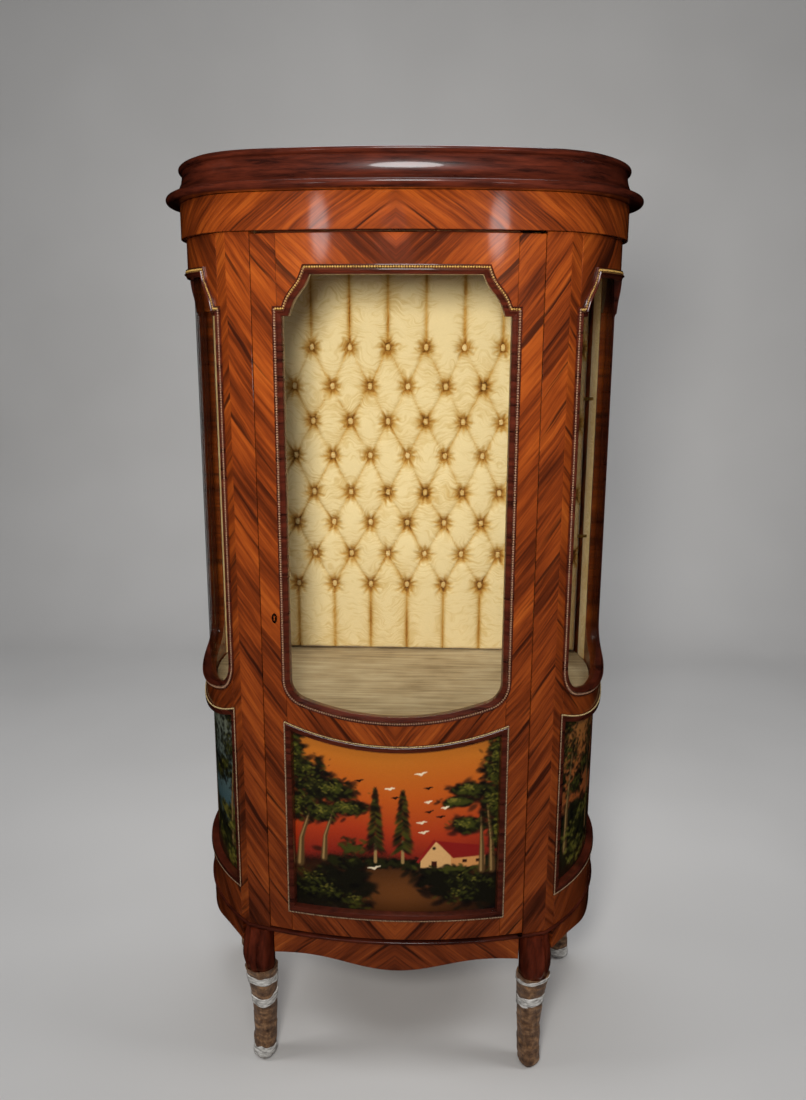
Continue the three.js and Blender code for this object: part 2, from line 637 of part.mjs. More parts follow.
const LEAF_CLEARANCE = 0.2;
const hinges = [["upper", DOOR_TOP, FRIEZE_BOTTOM], ["lower", DOOR_BOTTOM, BEAD_TOP]];
for (const [word, doorEnd, caseEnd] of hinges) {
  const up = Math.sign(caseEnd - doorEnd);
  const base = (end, away) => end + (away > 0 ? LEAF_CLEARANCE : -LEAF_CLEARANCE - LEAF_THICKNESS);
  const eyed = leafShape();
  const eyeHole = arcPoints(0, 0, PIVOT_RADIUS + RUNNING_CLEARANCE, 0, 2 * Math.PI, 20);
  eyed.holes.push(new THREE.Path(eyeHole));
  const doorLeaf = addPiece("door_" + word + "_hinge_leaf", leafBody(eyed), BRASS, door);
  fitToFace(doorLeaf, PIVOT_S, base(doorEnd, up), PIVOT_PROUD);
  const caseLeaf = addPiece("case_" + word + "_hinge_leaf", pinnedLeaf(up), BRASS);
  fitToFace(caseLeaf, PIVOT_S, base(caseEnd, -up), PIVOT_PROUD);
}

// ---- Lock ----------------------------------------------------------------------------------
// A surface lock on the back of the door's left stile. Its bolt slides out behind the fixed
// stile, into a keeper there. The escutcheon round the keyhole is on the face.
const BOLT = { height: 12, thickness: 5, length: 34 };
const CASE_WALL = 2.5;
const PLAY = 0.5;
const LOCK_DEPTH = BOLT.thickness + 2 * (CASE_WALL + PLAY);
const LOCK_LENGTH = 40;
const KEEPER_LENGTH = 18;
const KEEPER_FRONT_WALL = 1.4;
const LOCK_MIDDLE = -DOOR_HALF + 1 + LOCK_LENGTH / 2;

// A box channel from x = from to x = to, open on its left, and closed on its right on demand.
function channel(from, to, frontWall, isStopped) {
  const high = BOLT.height / 2 + PLAY;
  const outer = block(from, to, CASE_WALL - frontWall, LOCK_DEPTH, -high - CASE_WALL, high + CASE_WALL);
  const innerEnd = isStopped ? to - CASE_WALL : to + 1;
  const inner = block(from - 1, innerEnd, CASE_WALL, LOCK_DEPTH - CASE_WALL, -high, high);
  return subtract(outer, inner);
}
const onLock = (mesh) => fitToFace(mesh, LOCK_MIDDLE, LOCK_Z, -WALL - 2 * GAP);
const half = LOCK_LENGTH / 2;
onLock(addPiece("lock_case", channel(-half, half, CASE_WALL, true), BRASS, door));
const boltBody = block(
  PLAY - half, PLAY - half + BOLT.length,
  CASE_WALL + PLAY, CASE_WALL + PLAY + BOLT.thickness,
  -BOLT.height / 2, BOLT.height / 2,
);
onLock(addPiece("lock_bolt", boltBody, BRASS, door));
const keeperEnd = -half - 1 - DOOR_GAP - 1;
const keeperBody = channel(keeperEnd - KEEPER_LENGTH, keeperEnd, KEEPER_FRONT_WALL, false);
onLock(addPiece("lock_keeper", keeperBody, BRASS));

const PLATE = { halfWidth: 5, halfHeight: 9, thickness: 1.2 };
const plate = new THREE.Shape(
  arcPoints(0, 0, 1, 0, 2 * Math.PI, 20).map(
    (p) => new THREE.Vector2(PLATE.halfWidth * p.x, PLATE.halfHeight * p.y),
  ),
);
const keyhole = [
  ...arcPoints(0, 2.5, 1.9, -Math.PI / 3, (4 * Math.PI) / 3, 10),
  new THREE.Vector2(-1.4, -4.5),
  new THREE.Vector2(1.4, -4.5),
];
plate.holes.push(new THREE.Path(keyhole));
const escutcheonBody = new THREE.ExtrudeGeometry(plate, {
  depth: PLATE.thickness,
  bevelEnabled: false,
});
escutcheonBody.rotateX(Math.PI / 2);
fitToFace(addPiece("escutcheon", escutcheonBody, BRASS, door), KEYHOLE_S, LOCK_Z, GAP);

export default cabinet;
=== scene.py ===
import math

import bpy
import numpy as np
from mathutils import Matrix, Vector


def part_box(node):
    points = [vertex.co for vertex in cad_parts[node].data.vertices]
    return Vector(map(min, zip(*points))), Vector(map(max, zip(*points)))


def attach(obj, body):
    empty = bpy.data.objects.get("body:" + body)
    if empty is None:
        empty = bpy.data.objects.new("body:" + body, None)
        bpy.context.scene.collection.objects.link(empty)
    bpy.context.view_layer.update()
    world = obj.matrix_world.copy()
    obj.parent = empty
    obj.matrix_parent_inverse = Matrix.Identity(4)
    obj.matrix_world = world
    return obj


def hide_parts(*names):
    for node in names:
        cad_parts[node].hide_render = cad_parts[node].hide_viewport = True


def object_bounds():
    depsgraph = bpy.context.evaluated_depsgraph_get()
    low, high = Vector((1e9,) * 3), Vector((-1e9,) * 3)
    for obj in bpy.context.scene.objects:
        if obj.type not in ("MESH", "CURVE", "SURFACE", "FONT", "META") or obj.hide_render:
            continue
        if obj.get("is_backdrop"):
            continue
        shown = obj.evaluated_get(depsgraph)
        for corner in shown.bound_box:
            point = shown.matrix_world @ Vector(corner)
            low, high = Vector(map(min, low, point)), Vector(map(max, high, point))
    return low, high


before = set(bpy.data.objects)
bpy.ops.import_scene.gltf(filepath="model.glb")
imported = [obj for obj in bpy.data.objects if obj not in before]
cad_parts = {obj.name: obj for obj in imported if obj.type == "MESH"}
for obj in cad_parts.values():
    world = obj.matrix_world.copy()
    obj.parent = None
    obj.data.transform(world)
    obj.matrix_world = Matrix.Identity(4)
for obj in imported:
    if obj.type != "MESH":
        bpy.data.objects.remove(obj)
cad_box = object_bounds()


# ==== Base board and bead ====
# A plain board cut to the plan of the case, edged with a half-round mahogany bead that is glued on.
# In plan the case is a shallow bow between two corners, then a rounder side back to the wall.
LIP_OVERHANG = 0.033
BOW_RADIUS, CORNER_X = 0.880, 0.280
SIDE_RADIUS, SIDE_CENTRE_X = 0.370, 0.030
WALL = 0.020
FACE_Y = cad_box[0].y + LIP_OVERHANG
BACK_Y = cad_box[1].y
BOW_TURN = math.asin(CORNER_X / BOW_RADIUS)
CORNER_S = BOW_RADIUS * BOW_TURN
CORNER_DX = CORNER_X - SIDE_CENTRE_X
CORNER_DY = math.sqrt(SIDE_RADIUS**2 - CORNER_DX**2)
SIDE_CENTRE_Y = FACE_Y + BOW_RADIUS * (1 - math.cos(BOW_TURN)) + CORNER_DY
SIDE_FIRST = -math.acos(CORNER_DX / SIDE_RADIUS)
SIDE_LAST = math.asin((BACK_Y - SIDE_CENTRE_Y) / SIDE_RADIUS)
BACK_S = CORNER_S + SIDE_RADIUS * (SIDE_LAST - SIDE_FIRST)
HAIR = 1e-6


def on_face(length):
    """A point of the plan curve and its outward direction. On the bow the angle is length / bow
    radius. On the side it is the first angle plus the length past the corner / side radius."""
    turn = length / BOW_RADIUS
    bow_out = np.stack([np.sin(turn), -np.cos(turn)], -1)
    bow = np.array([0, FACE_Y + BOW_RADIUS]) + BOW_RADIUS * bow_out
    turn = SIDE_FIRST + (length - CORNER_S) / SIDE_RADIUS
    side_out = np.stack([np.cos(turn), np.sin(turn)], -1)
    side = np.array([SIDE_CENTRE_X, SIDE_CENTRE_Y]) + SIDE_RADIUS * side_out
    on_bow = (length < CORNER_S)[..., None]
    return np.where(on_bow, bow, side), np.where(on_bow, bow_out, side_out)


BOTH_SIDES = CORNER_S + np.array([-HAIR, HAIR])
CORNER_OUT = on_face(BOTH_SIDES)[1].sum(0)
CORNER_OUT /= np.linalg.norm(CORNER_OUT)


def bend(s, z, t, ease=0.0):
    """Carries flat points (s along the face, z up, t out of it) to the case: place(|s|) + t out,
    with x mirrored where s is negative. At the corner, out is the mitre of its two sides, and
    within ease of it the curve is a quadratic Bezier. At the back, out runs along the wall."""
    s, z, t = np.broadcast_arrays(np.asarray(s, float), z, t)
    length = np.abs(s)
    point, out = on_face(length)
    mitre = CORNER_OUT / (CORNER_OUT @ on_face(BOTH_SIDES)[1][0])
    out = np.where((np.abs(length - CORNER_S) < HAIR)[..., None], mitre, out)
    if ease:
        first, knee, last = on_face(CORNER_S + ease * np.array([-1.0, 0.0, 1.0]))[0]
        u = np.clip((length - CORNER_S + ease) / (2 * ease), 0, 1)[..., None]
        curve = (1 - u) ** 2 * first + 2 * u * (1 - u) * knee + u**2 * last
        along = (1 - u) * (knee - first) + u * (last - knee)
        along /= np.linalg.norm(along, axis=-1, keepdims=True)
        near = (np.abs(length - CORNER_S) < ease)[..., None]
        point = np.where(near, curve, point)
        out = np.where(near, np.stack([along[..., 1], -along[..., 0]], -1), out)
    at_wall = (length > BACK_S - HAIR)[..., None]
    out = np.where(at_wall, np.array([1 / math.cos(SIDE_LAST), 0.0]), out)
    flat = point + t[..., None] * out
    return np.stack([np.where(s < 0, -1, 1) * flat[..., 0], flat[..., 1], z], -1)


def lengths(start, end, step=0.006, extra=()):
    """Even lengths from start to end, with the middle, the corners and any extra ones put in."""
    even = np.linspace(start, end, max(2, math.ceil((end - start) / step) + 1))
    fixed = np.array([s for s in (-CORNER_S, 0.0, CORNER_S, *extra) if start < s < end] or [start])
    apart = np.min(np.abs(even[:, None] - fixed), axis=1) > step / 12
    apart[[0, -1]] = True
    return np.unique(np.concatenate([even[apart], fixed]))


def tube_faces(count, around, closed=False):
    """Quads that join count outlines of around points each, and an end cap on each open end."""
    i, j = np.arange(count if closed else count - 1)[:, None], np.arange(around)[None, :]
    after, beside = (i + 1) % count, (j + 1) % around
    quads = [i * around + j, after * around + j, after * around + beside, i * around + beside]
    groups = [np.stack(quads, -1).reshape(-1, 4)]
    if not closed:
        groups += [np.arange(around)[None, ::-1], (count - 1) * around + np.arange(around)[None, :]]
    return groups


def facing_out(points, groups):
    """Turns every face round if their signed volume, the sum of a . (b x c) over fans, is negative."""
    total = 0.0
    for faces in groups:
        first = points[faces[:, 0]]
        for k in range(2, faces.shape[1]):
            total += np.sum(first * np.cross(points[faces[:, k - 1]], points[faces[:, k]]))
    return groups if total > 0 else [faces[:, ::-1] for faces in groups]


def add_mesh(name, points, groups, body, slot, material, replaced=(), uv=None, paint=None, sharp=34):
    """Makes a piece and puts it on its body. groups are arrays of faces of one size each. uv has
    one pair for each point, or each face corner, and paint one linear colour for each point."""
    mesh = bpy.data.meshes.new(name)
    mesh.from_pydata(points.tolist(), [], [face for faces in groups for face in faces.tolist()])
    if uv is not None:
        corner = np.concatenate([faces.ravel() for faces in groups])
        values = uv[corner] if len(uv) == len(points) else uv
        mesh.uv_layers.new(name="grain").data.foreach_set("uv", values.ravel())
    if paint is not None:
        layer = mesh.color_attributes.new("paint", "FLOAT_COLOR", "POINT")
        layer.data.foreach_set("color", np.concatenate([paint, np.ones((len(points), 1))], 1).ravel())
    mesh.shade_smooth()
    mesh.set_sharp_from_angle(angle=math.radians(sharp))
    mesh.materials.append(material)
    piece = bpy.data.objects.new(name, mesh)
    bpy.context.scene.collection.objects.link(piece)
    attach(piece, body)
    if replaced:
        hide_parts(*replaced)
    return piece


def add_tube(name, sections, closed=False, **what):
    """A closed body through sections, an array of (section, point, xyz)."""
    points = sections.reshape(-1, 3)
    groups = facing_out(points, tube_faces(*sections.shape[:2], closed))
    return add_mesh(name, points, groups, **what)


class Wire:
    """An output in a material's node tree. An operator on wires adds its Math node."""

    def __init__(self, tree, socket=None):
        self.tree, self.socket = tree, socket

    def node(self, kind, settings=(), out=0, **sockets):
        """Adds a node. Its sockets are named with _ for a space, or by number after a _."""
        made = self.tree.nodes.new("ShaderNode" + kind)
        for key, value in dict(settings).items():
            if key == "stops":
                made.color_ramp.elements.remove(made.color_ramp.elements[1])
                for number, (place, colour) in enumerate(value):
                    fresh = made.color_ramp.elements.new(place) if number else made.color_ramp.elements[0]
                    fresh.position, fresh.color = place, (*colour, 1.0)
            else:
                setattr(made, key, value)
        for key, value in sockets.items():
            socket = made.inputs[int(key[1:]) if key[0] == "_" else key.replace("_", " ")]
            if isinstance(value, Wire):
                self.tree.links.new(value.socket, socket)
            else:
                socket.default_value = value
        return Wire(self.tree, made.outputs[out])

    def maths(self, operation, a, b):
        return self.node("Math", {"operation": operation}, _0=a, _1=b)

    def __add__(self, other):
        return self.maths("ADD", self, other)

    def __sub__(self, other):
        return self.maths("SUBTRACT", self, other)

    def __rsub__(self, other):
        return self.maths("SUBTRACT", other, self)

    def __mul__(self, other):
        return self.maths("MULTIPLY", self, other)

    __radd__, __rmul__ = __add__, __mul__

    def step(self, low, high):
        """0 below low and 1 above high, with a smooth step between."""
        smooth = {"interpolation_type": "SMOOTHSTEP"}
        return self.node("MapRange", smooth, Value=self, From_Min=low, From_Max=high)

    def ramp(self, *stops):
        return self.node("ValToRGB", {"stops": stops}, Fac=self)

    def between(self, low, high, blend="MIX"):
        """Colour low where this is 0 and high where it is 1."""
        low, high = (c if isinstance(c, Wire) else (*c, 1.0) for c in (low, high))
        return self.node("Mix", {"data_type": "RGBA", "blend_type": blend}, out=2, _0=self, _6=low, _7=high)

    def place(self, *scale):
        """Object coordinates in metres, stretched."""
        return self.node("Mapping", Vector=self.node("TexCoord", out=3), Scale=scale)

    def noise(self, place, detail=3.0, rough=0.55):
        return self.node("TexNoise", Vector=place, Scale=1.0, Detail=detail, Roughness=rough)

    def relief(self, height, strength, depth):
        return self.node("Bump", Strength=strength, Distance=depth, Height=height)

    def moved(self, place, shift):
        return self.node("VectorMath", {"operation": "ADD"}, _0=place, _1=shift)

    def painted(self, out=0):
        """The colour painted on the mesh, or its brightness from output 2."""
        return self.node("Attribute", {"attribute_name": "paint"}, out)


def srgb(red, green, blue):
    """A linear colour from one as it looks on a screen, 0 to 255."""
    return tuple(((c / 255 + 0.055) / 1.055) ** 2.4 for c in (red, green, blue))


def new_finish(name, **constants):
    """A material with one shader: a wire to build on, and the function that plugs wires in."""
    material = bpy.data.materials.new(name)
    material.use_nodes = True
    tree = material.node_tree
    shader = tree.nodes["Principled BSDF"]
    for key, value in constants.items():
        shader.inputs[key.replace("_", " ")].default_value = value

    def plug(**wires):
        for key, wire in wires.items():
            tree.links.new(wire.socket, shader.inputs[key.replace("_", " ")])
        return material

    return Wire(tree), plug


def mahogany(name, deep, warm, polish, across, up):
    """Close grain with fine pores, under a thick polish. across and up are how fast it changes."""
    wire, plug = new_finish(name, Coat_Weight=0.8, Coat_Roughness=polish)
    grain = wire.noise(wire.place(across, across, up), 4.0)
    pores = wire.noise(wire.place(6 * across, 6 * across, 6 * up), 2.0)
    return plug(
        Base_Color=(grain * 0.75 + pores * 0.25).ramp((0.36, deep), (0.66, warm)),
        Roughness=0.20 + grain * 0.2, Normal=wire.relief(pores, 0.10, 0.0005),
    )


def bare_board(name, dark, middle, light, *stretch):
    """A plain sawn board with streaks along it and a few faint stains."""
    wire, plug = new_finish(name)
    streak = wire.noise(wire.place(*stretch), 4.0)
    stain_and_shade = wire.noise(wire.place(9, 9, 9))
    return plug(
        Base_Color=(streak * 0.55 + stain_and_shade * 0.45).ramp((0.36, dark), (0.5, middle), (0.64, light)),
        Roughness=0.55 + stain_and_shade * 0.25, Normal=wire.relief(streak, 0.15, 0.0006),
    )


def refinish(material, *names):
    """Gives carried-over pieces their finish."""
    for name in names:
        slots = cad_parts[name].material_slots
        if not slots:
            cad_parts[name].data.materials.append(material)
        for slot in slots:
            slot.material = material


def run_along(name, profile, s, ease=0.0):
    """Carries a mahogany profile, an array of (t, z), along the face at the lengths s."""
    sections = bend(s[:, None], profile[None, :, 1], profile[None, :, 0], ease)
    add_tube(name, sections, body="cabinet", slot="dark_wood", material=MOULDING_WOOD, replaced=[name])


def arc(t, z, radius, first, last, count=9):
    """Points (t, z) round a centre, from first to last degrees. 0 points out of the face."""
    turn = np.radians(np.linspace(first, last, count))
    return np.stack([t + radius * np.cos(turn), z + radius * np.sin(turn)], -1)


PLAIN_BOARD = bare_board("plain_board", srgb(104, 70, 40), srgb(136, 98, 60), srgb(160, 122, 80), 90, 90, 5)
MOULDING_WOOD = mahogany("moulding_mahogany", srgb(34, 12, 8), srgb(82, 32, 18), 0.06, 12, 130)
refinish(PLAIN_BOARD, "base_board")

BEAD_LOW, BEAD_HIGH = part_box("base_bead")[0].z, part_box("base_bead")[1].z
BEAD_PROUD = 0.0008
bead_half = (BEAD_HIGH - BEAD_LOW) / 2
half_round = arc(BEAD_PROUD, BEAD_LOW + bead_half, bead_half, -90, 90, 11)
bead_profile = np.concatenate([[[-WALL, BEAD_LOW]], half_round, [[-WALL, BEAD_HIGH]]])
ROUND_CASE = lengths(-BACK_S, BACK_S, 0.008)
run_along("base_bead", bead_profile, ROUND_CASE)


# ==== Legs ====
# Four cabriole legs of solid mahogany, turned out to the corners and glued under the base. The
# knee has a ridge down its middle with a flute at each side, and the shank thins to the foot.
LEG_HEIGHTS = [0.004, 0.025, 0.080, 0.140, 0.200, 0.235, 0.265, BEAD_LOW - 0.0004]
LEG_HALVES = [0.0110, 0.0145, 0.0155, 0.0180, 0.0240, 0.0272, 0.0272, 0.0262]
LEG_SWAYS = [0.005, 0.003, 0.0, 0.001, 0.007, 0.012, 0.009, 0.0]
KNEE_FROM, KNEE_RISE = 0.185, 0.05
RIDGE_PROUD, RIDGE_WIDE = 0.0040, 0.15
FLUTE_DEEP, FLUTE_WIDE, FLUTE_TURN = 0.0030, 0.16, 0.42
COLLAR_PROUD, COLLAR_TALL = 0.0012, 0.006
REAR_OUT = np.array([1.0, 0.12]) / math.hypot(1.0, 0.12)
LEGS = [
    (word + end, np.array([side, 1]) * foot, math.atan2(out[1], side * out[0]))
    for word, side in (("left", -1), ("right", 1))
    for end, foot, out in (
        ("_front", (0.258, FACE_Y + 0.060), CORNER_OUT), ("_rear", (0.352, FACE_Y + 0.396), REAR_OUT),
    )
]
MAHOGANY = mahogany("leg_mahogany", srgb(40, 12, 6), srgb(98, 36, 17), 0.10, 60, 9)


def eased(x, knots, values):
    """A smooth curve through knots: cubic between them, with the mean slope at each."""
    knots, values = np.array(knots), np.array(values)
    slope = np.gradient(values, knots)
    i = np.clip(np.searchsorted(knots, x) - 1, 0, len(knots) - 2)
    width = knots[i + 1] - knots[i]
    u = np.clip((x - knots[i]) / width, 0, 1)
    curve = (2 * u**3 - 3 * u**2 + 1) * values[i] + (3 * u**2 - 2 * u**3) * values[i + 1]
    return curve + width * ((u**3 - 2 * u**2 + u) * slope[i] + (u**3 - u**2) * slope[i + 1])


def leg_points(foot, heading, angle, z, half, sway, squareness=3.0, proud=0.0):
    """Round a leg: half / (|cos|^n + |sin|^n)^(1/n) + proud from a middle that sways outward."""
    power = np.abs(np.cos(angle)) ** squareness + np.abs(np.sin(angle)) ** squareness
    reach = half * power ** (-1 / squareness) + proud
    x = foot[0] + sway * math.cos(heading) + reach * np.cos(angle + heading)
    y = foot[1] + sway * math.sin(heading) + reach * np.sin(angle + heading)
    return np.stack([x, y, np.broadcast_to(z, x.shape)], -1)


for name, foot, heading in LEGS:
    z = np.linspace(LEG_HEIGHTS[0], LEG_HEIGHTS[-1], 90)[:, None]
    angle = np.linspace(-np.pi, np.pi, 72, endpoint=False)[None, :]
    knee = np.clip((z - KNEE_FROM) / KNEE_RISE, 0, 1)
    flutes = FLUTE_DEEP * np.exp(-(((np.abs(angle) - FLUTE_TURN) / FLUTE_WIDE) ** 2))
    ridge = RIDGE_PROUD * np.exp(-((angle / RIDGE_WIDE) ** 2)) - flutes
    scallop = 1 + np.cos(6 * angle)
    collar = COLLAR_PROUD * np.exp(-(((z - LEG_HEIGHTS[-1]) / COLLAR_TALL) ** 2)) * scallop
    half, sway = eased(z, LEG_HEIGHTS, LEG_HALVES), eased(z, LEG_HEIGHTS, LEG_SWAYS)
    sections = leg_points(foot, heading, angle, z, half, sway, proud=knee * ridge + collar)
    add_tube(name + "_leg", sections, body="cabinet", slot="dark_wood", material=MAHOGANY,
             replaced=[name + "_leg"], sharp=60)


# ==== Leg wraps ====
# Brown packing paper wound up each leg, taped with white film. The paper is creased, its turns
# lap over each other in slanted steps, and its top edge is torn.
WRAP_HEIGHTS = [0.0, 0.006, 0.025, 0.080, 0.140, 0.185, 0.212]
WRAP_HALVES = [0.0125, 0.0165, 0.0188, 0.0198, 0.0222, 0.0265, 0.0290]
WRAP_SWAYS = [0.005, 0.005, 0.003, 0.0, 0.001, 0.005, 0.0085]
WRAP_WALL, WRAP_FLOOR = 0.0024, 0.003
WRAP_TOP, WRAP_TURN, WRAP_LAP = 0.205, 0.046, 0.0014
PAPER_TORN, PAPER_CREASE = 0.0035, 0.0007
FILM_LOW, FILM_HIGH, FILM_TORN, FILM_CREASE = 0.0008, 0.208, 0.0018, 0.0005
FILM_PROUD, FILM_THINNED, FILM_BACK = 0.0022, 0.0014, -0.0006
# Each band of film: the height of its middle, half its width, and how far it slants.
TAPES = {
    "left_front": [(0.178, 0.009, 0.004), (0.137, 0.010, -0.008), (0.014, 0.012, 0.004)],
    "right_front": [(0.147, 0.011, 0.006), (0.196, 0.004, 0.005)],
    "left_rear": [(0.150, 0.010, -0.006)],
    "right_rear": [(0.145, 0.010, 0.006), (0.016, 0.013, 0.003)],
}


def packing_paper():
    """Brown paper, lighter on its creases and folds and darker between them."""
    wire, plug = new_finish("packing_paper", Sheen_Weight=0.1)
    crease = wire.noise(wire.place(150, 150, 90), 5.0, 0.65)
    fold = wire.noise(wire.place(38, 38, 100), 3.0)
    shade = (crease * 0.5 + fold * 0.5).ramp(
        (0.36, srgb(62, 40, 25)), (0.50, srgb(108, 76, 50)), (0.62, srgb(152, 114, 78)))
    return plug(Base_Color=shade, Roughness=0.42 + crease * 0.4,
                Normal=wire.relief(crease + fold, 0.7, 0.0025))


def white_film():
    """Milky film, with painted shade: grey in its wrinkles."""
    wire, plug = new_finish("white_film", Coat_Weight=0.5)
    wrinkle = wire.noise(wire.place(80, 80, 260), 4.0)
    shade = wrinkle.ramp(
        (0.32, srgb(132, 128, 124)), (0.54, srgb(204, 201, 196)), (0.70, srgb(238, 236, 232)))
    return plug(Base_Color=shade, Roughness=0.2 + wrinkle * 0.3,
                Normal=wire.relief(wrinkle, 0.8, 0.002))


def crumple(angle, z, seed, size):
    """A seeded sum of sixteen waves, each sin(whole number x angle + rise x z + phase)."""
    draw = np.random.default_rng(seed)
    total = 0.0
    for _ in range(16):
        turns, rise = draw.integers(1, 9), draw.uniform(40, 240) * draw.choice([-1, 1])
        total = total + np.sin(turns * angle + rise * z + draw.uniform(0, 2 * np.pi)) * draw.uniform(0.3, 1)
    return size * total / 4


def wrap_points(leg, angle, z, proud):
    """Points of a wrap, proud of its smooth shape."""
    half, sway = eased(z, WRAP_HEIGHTS, WRAP_HALVES), eased(z, WRAP_HEIGHTS, WRAP_SWAYS)
    return leg_points(leg[1], leg[2], angle, z, half, sway, 2.6, proud)


PAPER, FILM = packing_paper(), white_film()
around = np.linspace(0, 2 * np.pi, 96, endpoint=False)[None, :]
for number, leg in enumerate(LEGS):
    rim = WRAP_TOP + crumple(around, 0.0, 50 + number, PAPER_TORN)
    z = 0.0004 + np.linspace(0, 1, 100)[:, None] * rim
    firm = np.clip(z / 0.012, 0, 1)
    lap = WRAP_LAP * np.sqrt((around / (2 * np.pi) + z / WRAP_TURN) % 1.0)
    creased = lap + crumple(around, z, 70 + number, PAPER_CREASE)
    outside = wrap_points(leg, around, z, firm * creased)
    inside = wrap_points(leg, around, np.maximum(z, WRAP_FLOOR)[::-1], -WRAP_WALL)
    add_tube(leg[0] + "_leg_wrap", np.concatenate([outside, inside]), body="cabinet", sharp=60,
             slot="kraft_paper", material=PAPER, replaced=[leg[0] + "_leg_wrap"])
    for band, (middle, wide, slant) in enumerate(TAPES[leg[0]], 1):
        seed = 90 + 10 * number + band
        across = np.linspace(-1, 1, 14)[:, None]
        torn = crumple(around, 0.0, seed, FILM_TORN)
        z = middle + across * (wide + torn) + slant * np.sin(around + 1.2)
        z = np.clip(z, FILM_LOW, FILM_HIGH)
        proud = FILM_PROUD + crumple(around, z, seed + 40, FILM_CREASE)
        proud -= FILM_THINNED * (np.abs(across) > 0.99)
        shell = [wrap_points(leg, around, z, proud), wrap_points(leg, around, z[::-1], FILM_BACK)]
        add_tube(f"{leg[0]}_film_{band}", np.concatenate(shell), True, body="cabinet",
                 slot="kraft_paper", material=FILM, sharp=60)


# ==== Aprons ====
# Curved aprons veneered in kingwood hang under the base, with waved lower edges. The veneer is
# laid on the slant, matched at the middle of each apron, and lacquered.
EASED = 0.0007
APRON_MEAN, APRON_SWING = 0.248, 0.0095
FRONT_WAVE, SIDE_WAVE = 0.320, 0.250
APRON_HALF = 0.234
APRON_FROM, APRON_TO = 0.309, 0.652
APRON_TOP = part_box("front_apron")[1].z


def kingwood():
    """The grain runs along the first UV axis: broad bands, streaks, dark veins and fine pores,
    each a noise stretched along it, on coordinates that a slow noise bends a little."""
    wire, plug = new_finish("kingwood_veneer", Coat_Weight=0.8, Coat_Roughness=0.09)
    laid = wire.node("UVMap", {"uv_map": "grain"})

    def stretched(place, along, across):
        return wire.node("Mapping", Vector=place, Scale=(along, across, 1.0))

    drift = (wire.noise(stretched(laid, 4, 9), 3.0) - 0.5) * 0.022
    bent = wire.moved(laid, wire.node("CombineXYZ", Y=drift))
    broad = wire.noise(stretched(bent, 2.2, 16), 3.0)
    streak = wire.noise(stretched(bent, 5, 120), 4.0, 0.6)
    fine = wire.noise(stretched(bent, 9, 420), 3.0, 0.6)
    vein = wire.noise(stretched(bent, 2.2, 60), 3.0)
    pore = wire.noise(stretched(bent, 40, 950), 2.0)
    wood = (broad * 0.45 + streak * 0.30 + fine * 0.25).ramp(
        (0.36, srgb(46, 16, 6)), (0.44, srgb(78, 30, 8)), (0.50, srgb(108, 44, 11)),
        (0.56, srgb(132, 59, 15)), (0.66, srgb(158, 80, 24)),
    )
    dark = (1 - vein.step(0.33, 0.41)) * 0.85
    wood = dark.between(wood, srgb(34, 12, 6))
    wood = (pore.step(0.56, 0.70) * 0.35).between(wood, srgb(46, 17, 7))
    return plug(Base_Color=wood, Roughness=0.26 + streak * 0.2, Normal=wire.relief(pore, 0.07, 0.0004))


VENEER = kingwood()


def slanted(lean, shift=0.0, matched=0, middle=0.0):
    """Grain that leans right by so many degrees. For a lean a, the first coordinate is
    s sin a + z cos a and the second s cos a - z sin a. A matched panel is mirrored about its
    middle: 1 makes a V of it and -1 an inverted one. shift takes it from another part of the log."""
    a = math.radians(lean)

    def grain(s, z):
        side = np.abs(s - middle) * matched if matched else s - middle
        along, across = side * math.sin(a) + z * math.cos(a), side * math.cos(a) - z * math.sin(a)
        return np.stack([along + shift, across + shift * 0.37], -1)

    return grain


def add_board(name, s, low, high, grain, body="cabinet", outer=0.0, beyond=None):
    """A veneered board along the face, with its outer edges and ends eased. low and high are
    heights or functions of s, and beyond is the grain of the part past the corner."""
    s = np.sort(s)
    inner = s[(s > s[0] + 1.5 * EASED) & (s < s[-1] - 1.5 * EASED)]
    s = np.concatenate([[s[0], s[0] + EASED], inner, [s[-1] - EASED, s[-1]]])
    lo, hi = (f(s) if callable(f) else np.full(len(s), f) for f in (low, high))
    z = np.stack([lo + EASED, hi - EASED, hi, hi, lo, lo], -1)
    t = np.tile([outer, outer, outer - EASED, -WALL, -WALL, outer - EASED], (len(s), 1))
    t[[0, -1], :2] = outer - EASED
    points = bend(s[:, None], z, t).reshape(-1, 3)
    groups = facing_out(points, tube_faces(len(s), 6))
    flat_s, flat_z = np.repeat(s, 6), z.ravel()
    corner = np.concatenate([faces.ravel() for faces in groups])
    uv = grain(flat_s, flat_z)[corner]
    if beyond:
        middles = [np.repeat(np.abs(flat_s[faces]).mean(1), faces.shape[1]) for faces in groups]
        turned = (np.concatenate(middles) > CORNER_S)[:, None]
        uv = np.where(turned, beyond(flat_s, flat_z)[corner], uv)
    add_mesh(name, points, groups, body, "veneer", VENEER, [name], uv=uv, sharp=30)


def wave(middle, length):
    """An apron's lower edge: mean - swing x cos(2 pi (s - middle) / length)."""
    return lambda s: APRON_MEAN - APRON_SWING * np.cos(2 * np.pi * (s - middle) / length)


run = lengths(-APRON_HALF, APRON_HALF)
add_board("front_apron", run, wave(0, FRONT_WAVE), APRON_TOP, slanted(50, 3.1, -1))
for word, side in (("left", -1), ("right", 1)):
    middle = side * (APRON_FROM + APRON_TO) / 2
    run = side * lengths(APRON_FROM, APRON_TO, extra=[abs(middle)])
    grain = slanted(50, 4.7 + side, -1, middle)
    add_board(word + "_side_apron", run, wave(middle, SIDE_WAVE), APRON_TOP, grain)


